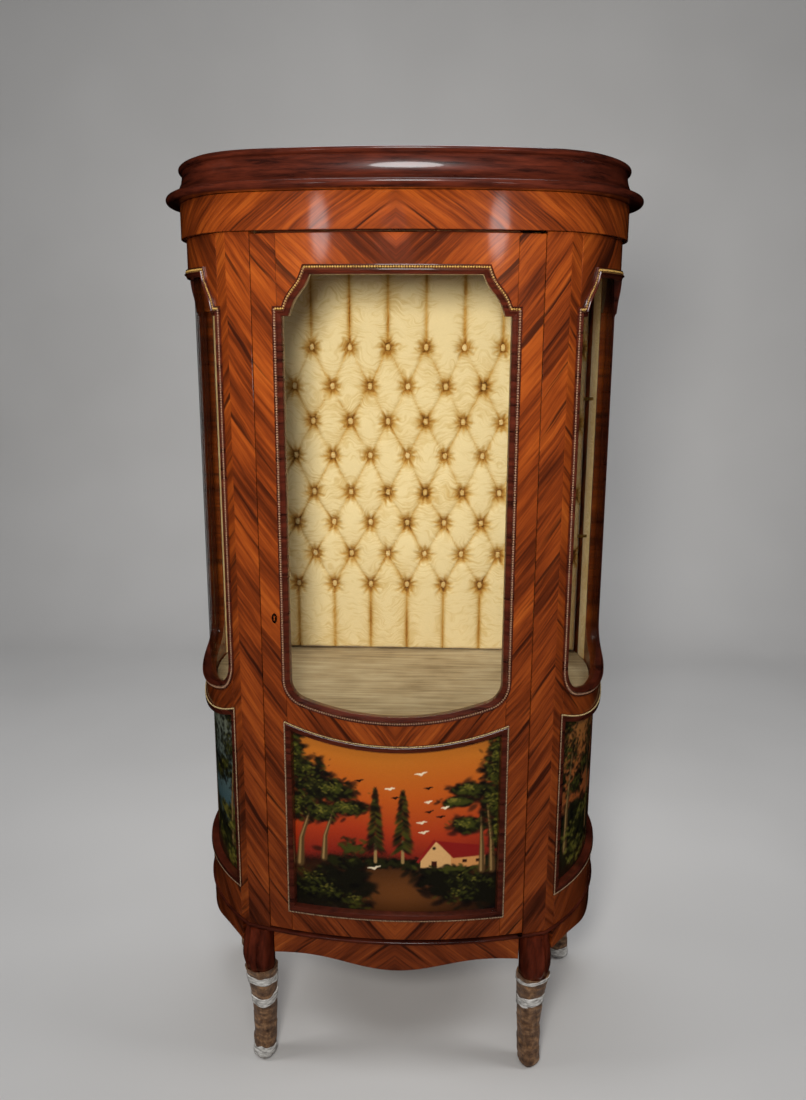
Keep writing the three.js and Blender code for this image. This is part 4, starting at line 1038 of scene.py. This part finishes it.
def door_picture(columns, rows):
    """The door's scene: a red sunset over a pond between trees, with two conifers and a barn."""
    canvas = Canvas(columns, rows, 21)
    canvas.bands((0.0, srgb(22, 13, 11)), (0.12, srgb(46, 25, 11)), (0.22, srgb(52, 28, 11)),
                 (0.29, srgb(36, 16, 11)), (0.33, srgb(126, 26, 11)), (0.45, srgb(162, 48, 11)),
                 (0.65, srgb(176, 78, 12)), (0.85, srgb(174, 98, 22)), (1.0, srgb(146, 88, 26)))
    canvas.dab(0.52, 0.11, 0.30, 0.12, srgb(112, 62, 20), 0.0, 0.8, 1.0)
    banks = ((0.10, 0.10, 0.20), (0.24, 0.17, 0.16), (0.92, 0.12, 0.2), (0.74, 0.18, 0.16),
             (0.1, 0.02, 0.3))
    for x, y, wide in banks:
        canvas.leaves(x, y, wide, 0.10, LEAF[:2], 130, 0.024, 0.8)
    for x in np.linspace(0.2, 0.98, 14):
        canvas.leaves(x, 0.265, 0.05, 0.025, LEAF[:3], 26, 0.014, 0.8)
    canvas.leaves(0.30, 0.34, 0.07, 0.045, LEAF[1:4], 60, 0.012)
    paint_conifer(canvas, 0.405, 0.27, 0.38, 0.045)
    paint_conifer(canvas, 0.535, 0.27, 0.37, 0.050)
    canvas.shape([(0.62, 0.245), (0.785, 0.24), (0.785, 0.30), (0.685, 0.385), (0.62, 0.30)], CREAM)
    canvas.shape([(0.765, 0.24), (0.93, 0.25), (0.93, 0.305), (0.765, 0.305)], srgb(196, 134, 74))
    canvas.shape([(0.775, 0.292), (0.935, 0.300), (0.905, 0.355), (0.69, 0.385)], srgb(128, 18, 12))
    canvas.shape([(0.60, 0.275), (0.612, 0.268), (0.695, 0.382), (0.683, 0.392)], srgb(136, 22, 14))
    canvas.dab(0.684, 0.345, 0.009, 0.009, BLACK)
    canvas.shape([(0.672, 0.243), (0.698, 0.243), (0.698, 0.278), (0.672, 0.278)], srgb(60, 24, 12))
    for x in (0.82, 0.885):
        canvas.shape([(x, 0.268), (x + 0.022, 0.268), (x + 0.022, 0.284), (x, 0.284)], srgb(52, 22, 12))
    canvas.leaves(0.76, 0.235, 0.16, 0.022, LEAF[:4], 90, 0.011, 0.85)
    paint_tree(canvas, 0.035, 0.23, 0.30, 0.06,
               [(0.02, 0.48, 0.14, 0.12), (0.10, 0.40, 0.12, 0.07), (0.02, 0.30, 0.10, 0.10),
                (-0.02, 0.58, 0.07, 0.2)], 0.016)
    paint_tree(canvas, 0.155, 0.27, 0.26, 0.05,
               [(0.05, 0.36, 0.12, 0.06), (0.12, 0.27, 0.10, 0.035), (0.0, 0.24, 0.08, 0.05)], 0.013)
    paint_tree(canvas, 0.915, 0.22, 0.30, -0.01,
               [(0.06, 0.50, 0.10, 0.14), (-0.06, 0.42, 0.10, 0.035), (-0.12, 0.36, 0.08, 0.02),
                (-0.07, 0.24, 0.09, 0.04), (0.07, 0.62, 0.06, 0.2)], 0.014)
    paint_tree(canvas, 0.965, 0.22, 0.34, -0.03, [(0.0, 0.35, 0.08, 0.12), (0.03, 0.2, 0.05, 0.14)], 0.014)
    bushes = ((0.08, 0.16, 0.12), (0.16, 0.09, 0.12), (0.86, 0.17, 0.15), (0.80, 0.10, 0.10),
              (0.30, 0.05, 0.08))
    for x, y, wide in bushes:
        canvas.leaves(x, y, wide, 0.06, LEAF[1:4], 80, 0.009, 0.5)
        canvas.leaves(x, y + 0.02, wide * 0.6, 0.03, LEAF[3:], 18, 0.005, 0.5)
    white_birds = ((0.62, 0.72, 0.030), (0.475, 0.645, 0.024), (0.655, 0.58, 0.018), (0.735, 0.55, 0.020),
                   (0.625, 0.475, 0.025), (0.635, 0.425, 0.025), (0.40, 0.235, 0.032))
    black_birds = ((0.33, 0.68, 0.022), (0.50, 0.60, 0.020), (0.655, 0.65, 0.022), (0.66, 0.53, 0.022),
                   (0.715, 0.505, 0.022))
    for flock, colour in ((white_birds, WHITE), (black_birds, BLACK)):
        for x, y, size in flock:
            canvas.bird(x, y, size, colour)
    return canvas.paint


def side_picture(seed, high_sky, low_sky):
    """A side panel's scene: tall dark trees against the sky, over undergrowth."""
    crowns = [(0.0, 0.62, 0.20, 0.16), (-0.10, 0.48, 0.14, 0.08), (0.12, 0.40, 0.14, 0.08),
              (0.0, 0.85, 0.16, 0.12)]

    def picture(columns, rows):
        canvas = Canvas(columns, rows, seed)
        canvas.bands((0.0, srgb(18, 14, 8)), (0.25, srgb(40, 34, 14)), (0.4, low_sky), (1.0, high_sky))
        for x in np.linspace(0.0, 1.0, 7):
            canvas.leaves(x, 0.25 + 0.1 * math.sin(7 * x), 0.2, 0.16, LEAF[:3], 120, 0.030, 0.85)
        for number, x in enumerate((0.14, 0.52, 0.86)):
            paint_tree(canvas, x, 0.18, 0.62, 0.05 * (-1) ** number, crowns, 0.022)
        for x, y in canvas.draw.uniform([0, 0.05], [1, 0.4], (14, 2)):
            canvas.leaves(x, y, 0.12, 0.05, LEAF[1:], 50, 0.014, 0.5)
        return canvas.paint

    return picture


def add_panel(bay_name, body, picture, columns, rows):
    """A bent board whose front is a grid of the picture. Each column runs from the panel's foot to
    its arched head, so row k of n stands at foot + (head - foot) k / n, and the picture is looked
    up there by height."""
    bay = BAYS[bay_name]
    half = bay["half"] - PANE_INSET
    s = np.linspace(bay["middle"] - half, bay["middle"] + half, columns)
    foot, head = bay["foot"] + PANE_INSET, panel_head(bay)(s) - PANE_INSET
    z = foot + np.linspace(0, 1, rows)[:, None] * (head - foot)
    tall = (z - foot) / (2 * half)
    canvas_rows = math.ceil(columns * tall.max()) + 2
    paint = picture(columns, canvas_rows)
    level = np.clip(tall / (canvas_rows / columns) * (canvas_rows - 1), 0, canvas_rows - 1.001)
    low, column = level.astype(int), np.arange(columns)[None, :]
    part = (level - low)[..., None]
    colour = paint[low, column] * (1 - part) + paint[low + 1, column] * part
    front = bend(s[None, :] + 0 * z, z, PANEL_FRONT)
    behind = bend(s[None, :] + 0 * z[[0, -1]], z[[0, -1]], PANEL_BACK)
    points = np.concatenate([front.reshape(-1, 3), behind.reshape(-1, 3)])
    colour = np.concatenate([colour.reshape(-1, 3), np.tile(BARE_BACK, (2 * columns, 1))])
    groups = facing_out(points, slab_faces(rows, columns))
    add_mesh(bay_name + "_picture", points, groups, body, "painted_board", OILS,
             [bay_name + "_painted_panel"], paint=colour, sharp=40)


OILS = oil_paint()
add_panel("door", "door", door_picture, 300, 270)
dusk = side_picture(33, srgb(150, 98, 44), srgb(140, 70, 26))
add_panel("right_side", "cabinet", dusk, 220, 230)
overcast = side_picture(34, srgb(112, 112, 90), srgb(60, 84, 88))
add_panel("left_side", "cabinet", overcast, 220, 230)


# ==== Glass ====
# Panes of clear glass, curved to the plan of the case, stand in the openings. The mouldings round
# each opening hold them in from the front.
PANE_FRONT, PANE_BACK = -0.010, -0.013


def clear_glass():
    """Clear at a right angle, with more gloss the more the pane is seen from the side."""
    material = bpy.data.materials.new("curved_glass")
    material.use_nodes = True
    material.node_tree.nodes.clear()
    wire = Wire(material.node_tree)
    slant = wire.node("LayerWeight", out=1, Blend=0.5)
    gloss = wire.maths("POWER", slant, 5.0) * 0.75 + 0.03
    through = wire.node("BsdfTransparent", Color=(0.97, 0.985, 0.98, 1.0))
    mirror = wire.node("BsdfGlossy", Color=(1.0, 1.0, 1.0, 1.0), Roughness=0.03)
    pane = wire.node("MixShader", _0=gloss, _1=through, _2=mirror)
    surface = wire.tree.nodes.new("ShaderNodeOutputMaterial")
    wire.tree.links.new(pane.socket, surface.inputs["Surface"])
    return material


GLASS = clear_glass()
for bay_name, bay in BAYS.items():
    body = "door" if bay_name == "door" else "cabinet"
    s = across_bay(bay)
    shrink = (bay["half"] - PANE_INSET) / bay["half"]
    low, high = window_sill(bay)(s) + PANE_INSET, window_head(bay)(s) - PANE_INSET
    z = np.stack([low, high, high, low], -1)
    place = (bay["middle"] + (s - bay["middle"]) * shrink)[:, None]
    sections = bend(place, z, np.array([PANE_FRONT, PANE_FRONT, PANE_BACK, PANE_BACK]))
    add_tube(bay_name + "_pane", sections, body=body, slot="clear_glass", material=GLASS,
             replaced=[bay_name + "_glass"], sharp=40)


# ==== Window and panel mouldings ====
# Mahogany mouldings are mitred round each window and each painted panel, and pinned over the
# edge of the opening. A row of small beads runs along each, gilt where it has not worn.
# Each profile runs round the moulding in millimetres, as (out of the opening, out of the face).
WINDOW_PROFILE = np.array([
    (7.8, 0.4), (7.8, 2.4), (7.2, 3.3), (6.5, 3.6), (5.8, 3.2), (5.4, 2.2), (1.6, 2.2), (1.2, 3.6),
    (0.7, 5.2), (0.0, 6.1), (-0.9, 6.4), (-1.7, 6.0), (-2.2, 5.0), (-2.5, 4.2), (-3.0, 3.9),
    (-6.6, 2.3), (-7.6, 1.7), (-8.0, 0.9), (-8.0, -9.6), (-0.4, -9.6), (-0.4, 0.4),
]) / 1000
PANEL_PROFILE = np.array([
    (6.5, 0.4), (6.5, 2.0), (6.1, 2.2), (3.6, 2.2), (3.2, 2.9), (2.4, 3.5), (1.4, 3.6),
    (-4.6, 3.1), (-5.6, 2.8), (-6.2, 2.0), (-6.5, 1.0), (-6.5, -11.6), (-0.4, -11.6), (-0.4, 0.4),
]) / 1000
# Each row of beads: how far out of the opening, its height, size and pitch, and its slant.
WINDOW_BEADS = (0.0036, 0.0026, 0.0020, 0.0042, 0.0)
PANEL_BEADS = (0.0050, 0.0024, 0.00125, 0.0030, 0.6)
CHAMFER_BOW = 0.0016
BEAD_LATITUDES, BEAD_SIDES, BEAD_STEP = [88, 50, 12, -30, -60], 8, 0.0005


def window_path(bay):
    """The opening's outline, anticlockwise from its left end: sill, side, shoulder, chamfer and
    top. The chamfer bows by a sine along it."""
    s = across_bay(bay)
    s[[0, -1]] = bay["middle"] - bay["half"], bay["middle"] + bay["half"]
    sill = np.stack([s, window_sill(bay)(s)], -1)
    side = np.array([[bay["half"], z] for z in np.linspace(sill[-1, 1], SHOULDER, 60)[1:]])
    u = np.linspace(0, 1, 12)
    bow = CHAMFER_BOW * np.sin(2 * np.pi * u)
    run = bay["half"] - SHOULDER_RUN - CHAMFER_RUN * u + bow
    chamfer = np.stack([run, SHOULDER + (WINDOW_TOP - SHOULDER) * u + bow], -1)
    reach = bay["half"] - SHOULDER_RUN - CHAMFER_RUN
    top = np.stack([np.linspace(reach, 0, 24)[1:], np.full(23, WINDOW_TOP)], -1)
    right = np.concatenate([side, chamfer, top])
    left = (np.concatenate([chamfer, top]) * [-1, 1])[::-1][1:]
    down = side[:-1][::-1] * [-1, 1]
    last = np.array([[-bay["half"], SHOULDER]])
    around = np.concatenate([right, left, last, down]) + [bay["middle"], 0]
    return np.concatenate([sill, around])


def panel_path(bay):
    """A panel's outline, anticlockwise: foot, right side, hanging arch and left side."""
    s = lengths(bay["middle"] - bay["half"], bay["middle"] + bay["half"])
    arch = np.stack([s[::-1], panel_head(bay)(s[::-1])], -1)
    foot = np.stack([s, np.full(len(s), bay["foot"])], -1)
    rise = np.linspace(bay["foot"], bay["corner"], 40)[1:-1]
    right = np.stack([np.full(38, s[-1]), rise], -1)
    left = np.stack([np.full(38, s[0]), rise[::-1]], -1)
    return np.concatenate([foot, right, arch, left])


def offset(path, out):
    """Moves a closed path outwards. Each point goes along the mitre (n1 + n2) / (1 + n1 . n2) of
    the outward directions of its two edges."""
    edge = np.roll(path, -1, axis=0) - path
    edge /= np.linalg.norm(edge, axis=1, keepdims=True)
    normal = np.stack([edge[:, 1], -edge[:, 0]], -1)
    before = np.roll(normal, 1, axis=0)
    mitre = (normal + before) / (1 + np.sum(normal * before, axis=1, keepdims=True))
    return path[:, None] + mitre[:, None] * np.reshape(out, (1, -1, 1))


def add_moulding(name, path, profile, body):
    """Carries a profile round a closed path, mitred at its corners, and bends it to the case."""
    rings = offset(path, profile[:, 0])
    sections = bend(rings[..., 0], rings[..., 1], profile[None, :, 1])
    add_tube(name, sections, True, body=body, slot="dark_wood", material=MOULDING_WOOD,
             replaced=[name], sharp=28)


def bead_metal():
    """Gilt and bare wood by the bead's paint, with dark brown patches where a fine noise wears the gilding
    away.
    """
    wire, plug = new_finish("worn_gilding", Coat_Weight=0.3, Coat_Roughness=0.15)
    paint = wire.painted()
    wear = wire.noise(wire.place(500, 500, 500))
    colour = (wear.step(0.30, 0.62)).between(srgb(70, 34, 20), paint)
    return plug(Base_Color=colour, Roughness=0.25 + wear * 0.3, Metallic=wear.step(0.35, 0.6) * 0.55)


def add_beads(name, path, row, body, gilt, plain, seed):
    """Sets a small bead every pitch along a path: a sphere of latitude rings cut off below, stretched
    along the row and turned by the slant. Beads on level stretches high up are gilt, the rest plain."""
    out, up, size, pitch, slant = row
    line = offset(path, [out])[:, 0]
    line = np.concatenate([line, line[:1]])
    gone = np.concatenate([[0], np.cumsum(np.linalg.norm(np.diff(line, axis=0), axis=1))])
    place = np.arange(0, gone[-1] - pitch / 2, gone[-1] / round(gone[-1] / pitch))
    s, z = np.interp(place, gone, line[:, 0]), np.interp(place, gone, line[:, 1])
    ahead = np.stack([np.interp(place + BEAD_STEP, gone, line[:, 0]) - s,
                      np.interp(place + BEAD_STEP, gone, line[:, 1]) - z], -1)
    ahead /= np.linalg.norm(ahead, axis=1, keepdims=True)
    turned = np.array([[math.cos(slant), -math.sin(slant)], [math.sin(slant), math.cos(slant)]])
    long_way = ahead @ turned.T
    short_way = np.stack([-long_way[:, 1], long_way[:, 0]], -1)
    latitude = np.radians(BEAD_LATITUDES)[:, None]
    longitude = np.linspace(0, 2 * np.pi, BEAD_SIDES, endpoint=False)[None, :]
    x, y = (np.cos(latitude) * f(longitude) for f in (np.cos, np.sin))
    h = np.broadcast_to(np.sin(latitude), x.shape).ravel()
    stretch = 1.0 + 0.35 * (slant > 0)
    x, y = stretch * x.ravel()[:, None], y.ravel()[:, None]
    flat = size * (x * long_way[:, None] + y * short_way[:, None])
    points = bend(s[:, None] + flat[..., 0], z[:, None] + flat[..., 1], up + size * h)
    groups = copies_faces(points, len(BEAD_LATITUDES), BEAD_SIDES)
    draw = np.random.default_rng(seed)
    level = np.abs(ahead[:, 0]) * (z > path[:, 1].mean())
    bright = np.clip(level * 1.3, 0, 1) * draw.uniform(0.75, 1, len(z)) + draw.uniform(0, 0.22, len(z))
    colour = np.array(plain) + (np.array(gilt) - plain) * np.clip(bright, 0, 1)[:, None]
    add_mesh(name, points.reshape(-1, 3), groups, body, "dark_wood", GILDING,
             paint=np.repeat(colour, points.shape[1], axis=0), sharp=80)


GILDING = bead_metal()
for number, (bay_name, bay) in enumerate(BAYS.items()):
    body = "door" if bay_name == "door" else "cabinet"
    window, panel = window_path(bay), panel_path(bay)
    add_moulding(bay_name + "_glass_moulding", window, WINDOW_PROFILE, body)
    add_moulding(bay_name + "_panel_moulding", panel, PANEL_PROFILE, body)
    add_beads(bay_name + "_window_beads", window, WINDOW_BEADS, body,
              srgb(236, 190, 104), srgb(186, 146, 124), 60 + number)
    add_beads(bay_name + "_panel_beads", panel, PANEL_BEADS, body,
              srgb(246, 222, 160), srgb(190, 160, 132), 70 + number)


# ==== Lock and hinges ====
# The door turns on two dark bronze pivot hinges let into its right end, top and bottom. A brass
# lock in its left stile throws a bolt into a keeper, and a steel escutcheon rings the keyhole.
STEEL = worn_metal("bright_steel", srgb(150, 146, 138), srgb(222, 216, 204), 0.15)
BRONZE = worn_metal("dark_bronze", srgb(52, 38, 22), srgb(96, 74, 42), 0.35)
refinish(BRONZE, "door_upper_hinge_leaf", "door_lower_hinge_leaf", "case_upper_hinge_leaf",
         "case_lower_hinge_leaf")
refinish(BRASS, "lock_case", "lock_bolt", "lock_keeper")
refinish(STEEL, "escutcheon")


# ==== Frieze and cornice ====
# A veneered frieze goes round the case above the door, matched at the middle. On it stand a
# rounded mahogany lip and a hollow cornice with a small roll at its top.
CORNER_EASE = 0.045
ROUND_CORNICE = lengths(-BACK_S, BACK_S, 0.007)
FRIEZE_LOW, FRIEZE_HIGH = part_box("frieze")[0].z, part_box("frieze")[1].z
FRIEZE_PROUD = 0.009
LIP_LOW, LIP_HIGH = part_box("cornice_lip")[0].z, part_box("cornice_lip")[1].z
COVE_LOW, COVE_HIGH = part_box("cornice_cove")[0].z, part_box("cornice_cove")[1].z

frieze_profile = np.array([
    (-WALL, FRIEZE_LOW), (FRIEZE_PROUD - EASED, FRIEZE_LOW), (FRIEZE_PROUD, FRIEZE_LOW + EASED),
    (FRIEZE_PROUD, FRIEZE_HIGH - EASED), (FRIEZE_PROUD - EASED, FRIEZE_HIGH), (-WALL, FRIEZE_HIGH),
])
frieze = bend(ROUND_CORNICE[:, None], frieze_profile[None, :, 1], frieze_profile[None, :, 0], CORNER_EASE)
points = frieze.reshape(-1, 3)
flat_s, flat_z = np.repeat(ROUND_CORNICE, 6), np.tile(frieze_profile[:, 1], len(ROUND_CORNICE))
grain = slanted(54, 16.5, -1)(flat_s, flat_z)
add_mesh("frieze", points, facing_out(points, tube_faces(len(ROUND_CORNICE), 6)), "cabinet", "veneer",
         VENEER, ["frieze"], uv=grain, sharp=30)

lip_half = (LIP_HIGH - LIP_LOW) / 2
lip_round = arc(LIP_OVERHANG - lip_half, LIP_LOW + lip_half, lip_half, -90, 90, 17)
lip_profile = np.concatenate([[[-WALL, LIP_LOW]], lip_round, [[-WALL, LIP_HIGH]]])
run_along("cornice_lip", lip_profile, ROUND_CORNICE, CORNER_EASE)

# The hollow is a quarter of an ellipse from the lip's top up to the foot of the roll.
HOLLOW_FOOT, HOLLOW_NECK, HOLLOW_STEP, ROLL, ROLL_PROUD = 0.024, 0.003, 0.0005, 0.0052, 0.0008
u = np.linspace(0, np.pi / 2, 16)
hollow_top = COVE_HIGH - 2 * ROLL - 0.001
hollow = np.stack([HOLLOW_FOOT - (HOLLOW_FOOT - HOLLOW_NECK) * np.sin(u),
                   hollow_top - (hollow_top - COVE_LOW - HOLLOW_STEP) * np.cos(u)], -1)
roll = arc(HOLLOW_NECK + ROLL_PROUD, COVE_HIGH - ROLL, ROLL, -90, 90, 13)
cove_foot, cove_top = [[-WALL, COVE_LOW], [HOLLOW_FOOT, COVE_LOW]], [[-WALL, COVE_HIGH]]
cove_profile = np.concatenate([cove_foot, hollow, roll, cove_top])
run_along("cornice_cove", cove_profile, ROUND_CORNICE, CORNER_EASE)


# ==== Studio ====
# This isn't part of the cabinet. A pale floor sweeps up behind it, soft round lamps light it, and
# the camera looks a little down on it from the front.
EYE, YAW, PITCH_DOWN, ROLL_TURN, LENS = (0.0795, -1.7945, 1.425), -0.0419, 0.2329, -0.0034, 32.05
SWEEP_RADIUS, SWEEP_BACK, SWEEP_HALF, SWEEP_FRONT, SWEEP_TOP = 0.9, 2.2, 4.0, -3.5, 3.6

turn = np.linspace(-np.pi / 2, 0, 24)
sweep = np.stack([SWEEP_BACK + SWEEP_RADIUS * np.cos(turn), SWEEP_RADIUS * (1 + np.sin(turn))], -1)
floor_line = np.concatenate([[[SWEEP_FRONT, 0.0]], sweep, [[SWEEP_BACK + SWEEP_RADIUS, SWEEP_TOP]]])
grid = np.array([[(x, y, z) for y, z in floor_line] for x in (-SWEEP_HALF, SWEEP_HALF)])
count = len(floor_line)
backdrop = bpy.data.meshes.new("floor")
strips = [[k, k + count, k + count + 1, k + 1] for k in range(count - 1)]
backdrop.from_pydata(grid.reshape(-1, 3).tolist(), [], strips)
backdrop.shade_smooth()
wire, plug = new_finish("pale_floor", Roughness=0.7)
mottle = wire.noise(wire.place(1.2, 1.2, 1.2), 2.0)
mottled = mottle.ramp((0.3, (0.62, 0.61, 0.60)), (0.7, (0.68, 0.67, 0.66)))
backdrop.materials.append(plug(Base_Color=mottled))
floor = bpy.data.objects.new("floor", backdrop)
bpy.context.scene.collection.objects.link(floor)
floor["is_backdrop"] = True

bpy.context.scene.view_settings.view_transform = "Standard"
world = bpy.data.worlds.new("room")
bpy.context.scene.world = world
world.use_nodes = True
world.node_tree.nodes["Background"].inputs["Color"].default_value = (0.95, 0.97, 1.0, 1.0)
world.node_tree.nodes["Background"].inputs["Strength"].default_value = 0.18
world.cycles_visibility.glossy = False
floor.visible_glossy = False


def placed(across, up, back, place):
    """The matrix of a lamp or camera, from its three axes and its place."""
    axes = np.eye(4)
    axes[:3] = np.stack([across, up, back, place], -1)
    return Matrix(axes.tolist())


def add_lamp(name, place, aim, size, power, colour=(1.0, 1.0, 1.0), seen=True):
    """A soft round lamp, turned so that its -Z axis points at aim. One that isn't seen lights
    the cabinet but makes no reflection. Returns its light, for further settings."""
    data = bpy.data.lights.new(name, "AREA")
    data.shape, data.size, data.energy, data.color = "DISK", size, power, colour
    lamp = bpy.data.objects.new(name, data)
    back = np.array(place, float) - aim
    back /= np.linalg.norm(back)
    right = np.cross([0, 0, 1], back)
    right /= np.linalg.norm(right)
    lamp.matrix_world = placed(right, np.cross(back, right), back, place)
    lamp.visible_glossy = seen
    bpy.context.scene.collection.objects.link(lamp)
    return data


MIDDLE = np.array([0.0, 0.0, 1.15])
flash = add_lamp("flash", (-0.10, -1.9, 1.60), (0.0, 0.0, 1.36), 0.35, 14.5, (1.0, 0.97, 0.92), False)
flash.spread = math.radians(95)
add_lamp("high_key", (0.0, -1.7, 3.0), MIDDLE, 0.7, 12)
add_lamp("left_rim", (-2.4, -0.4, 2.6), MIDDLE, 1.0, 24, seen=False)
add_lamp("right_rim", (2.4, -0.4, 2.6), MIDDLE, 1.0, 24, seen=False)
add_lamp("top", (0.0, 0.8, 3.2), MIDDLE, 1.4, 14, (0.92, 0.95, 1.0))
add_lamp("left_glow", (-0.89, -2.02, 1.73), (-0.12, -0.19, 1.53), 0.20, 0.6)
add_lamp("right_glow", (0.96, -2.0, 1.73), (0.16, -0.18, 1.53), 0.20, 0.6)

reach = math.cos(PITCH_DOWN)
forward = np.array([math.sin(YAW) * reach, math.cos(YAW) * reach, -math.sin(PITCH_DOWN)])
right = np.array([math.cos(YAW), -math.sin(YAW), 0.0])
down = np.cross(forward, right)
across = math.cos(ROLL_TURN) * right + math.sin(ROLL_TURN) * down
below = math.cos(ROLL_TURN) * down - math.sin(ROLL_TURN) * right
lens = bpy.data.cameras.new("camera")
lens.lens, lens.sensor_width = LENS, 36.0
camera = bpy.data.objects.new("camera", lens)
camera.matrix_world = placed(across, -below, -forward, EYE)
bpy.context.scene.collection.objects.link(camera)
bpy.context.scene.camera = camera

{name: [list(corner) for corner in box] for name, box in (("cad", cad_box), ("visual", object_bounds()))}
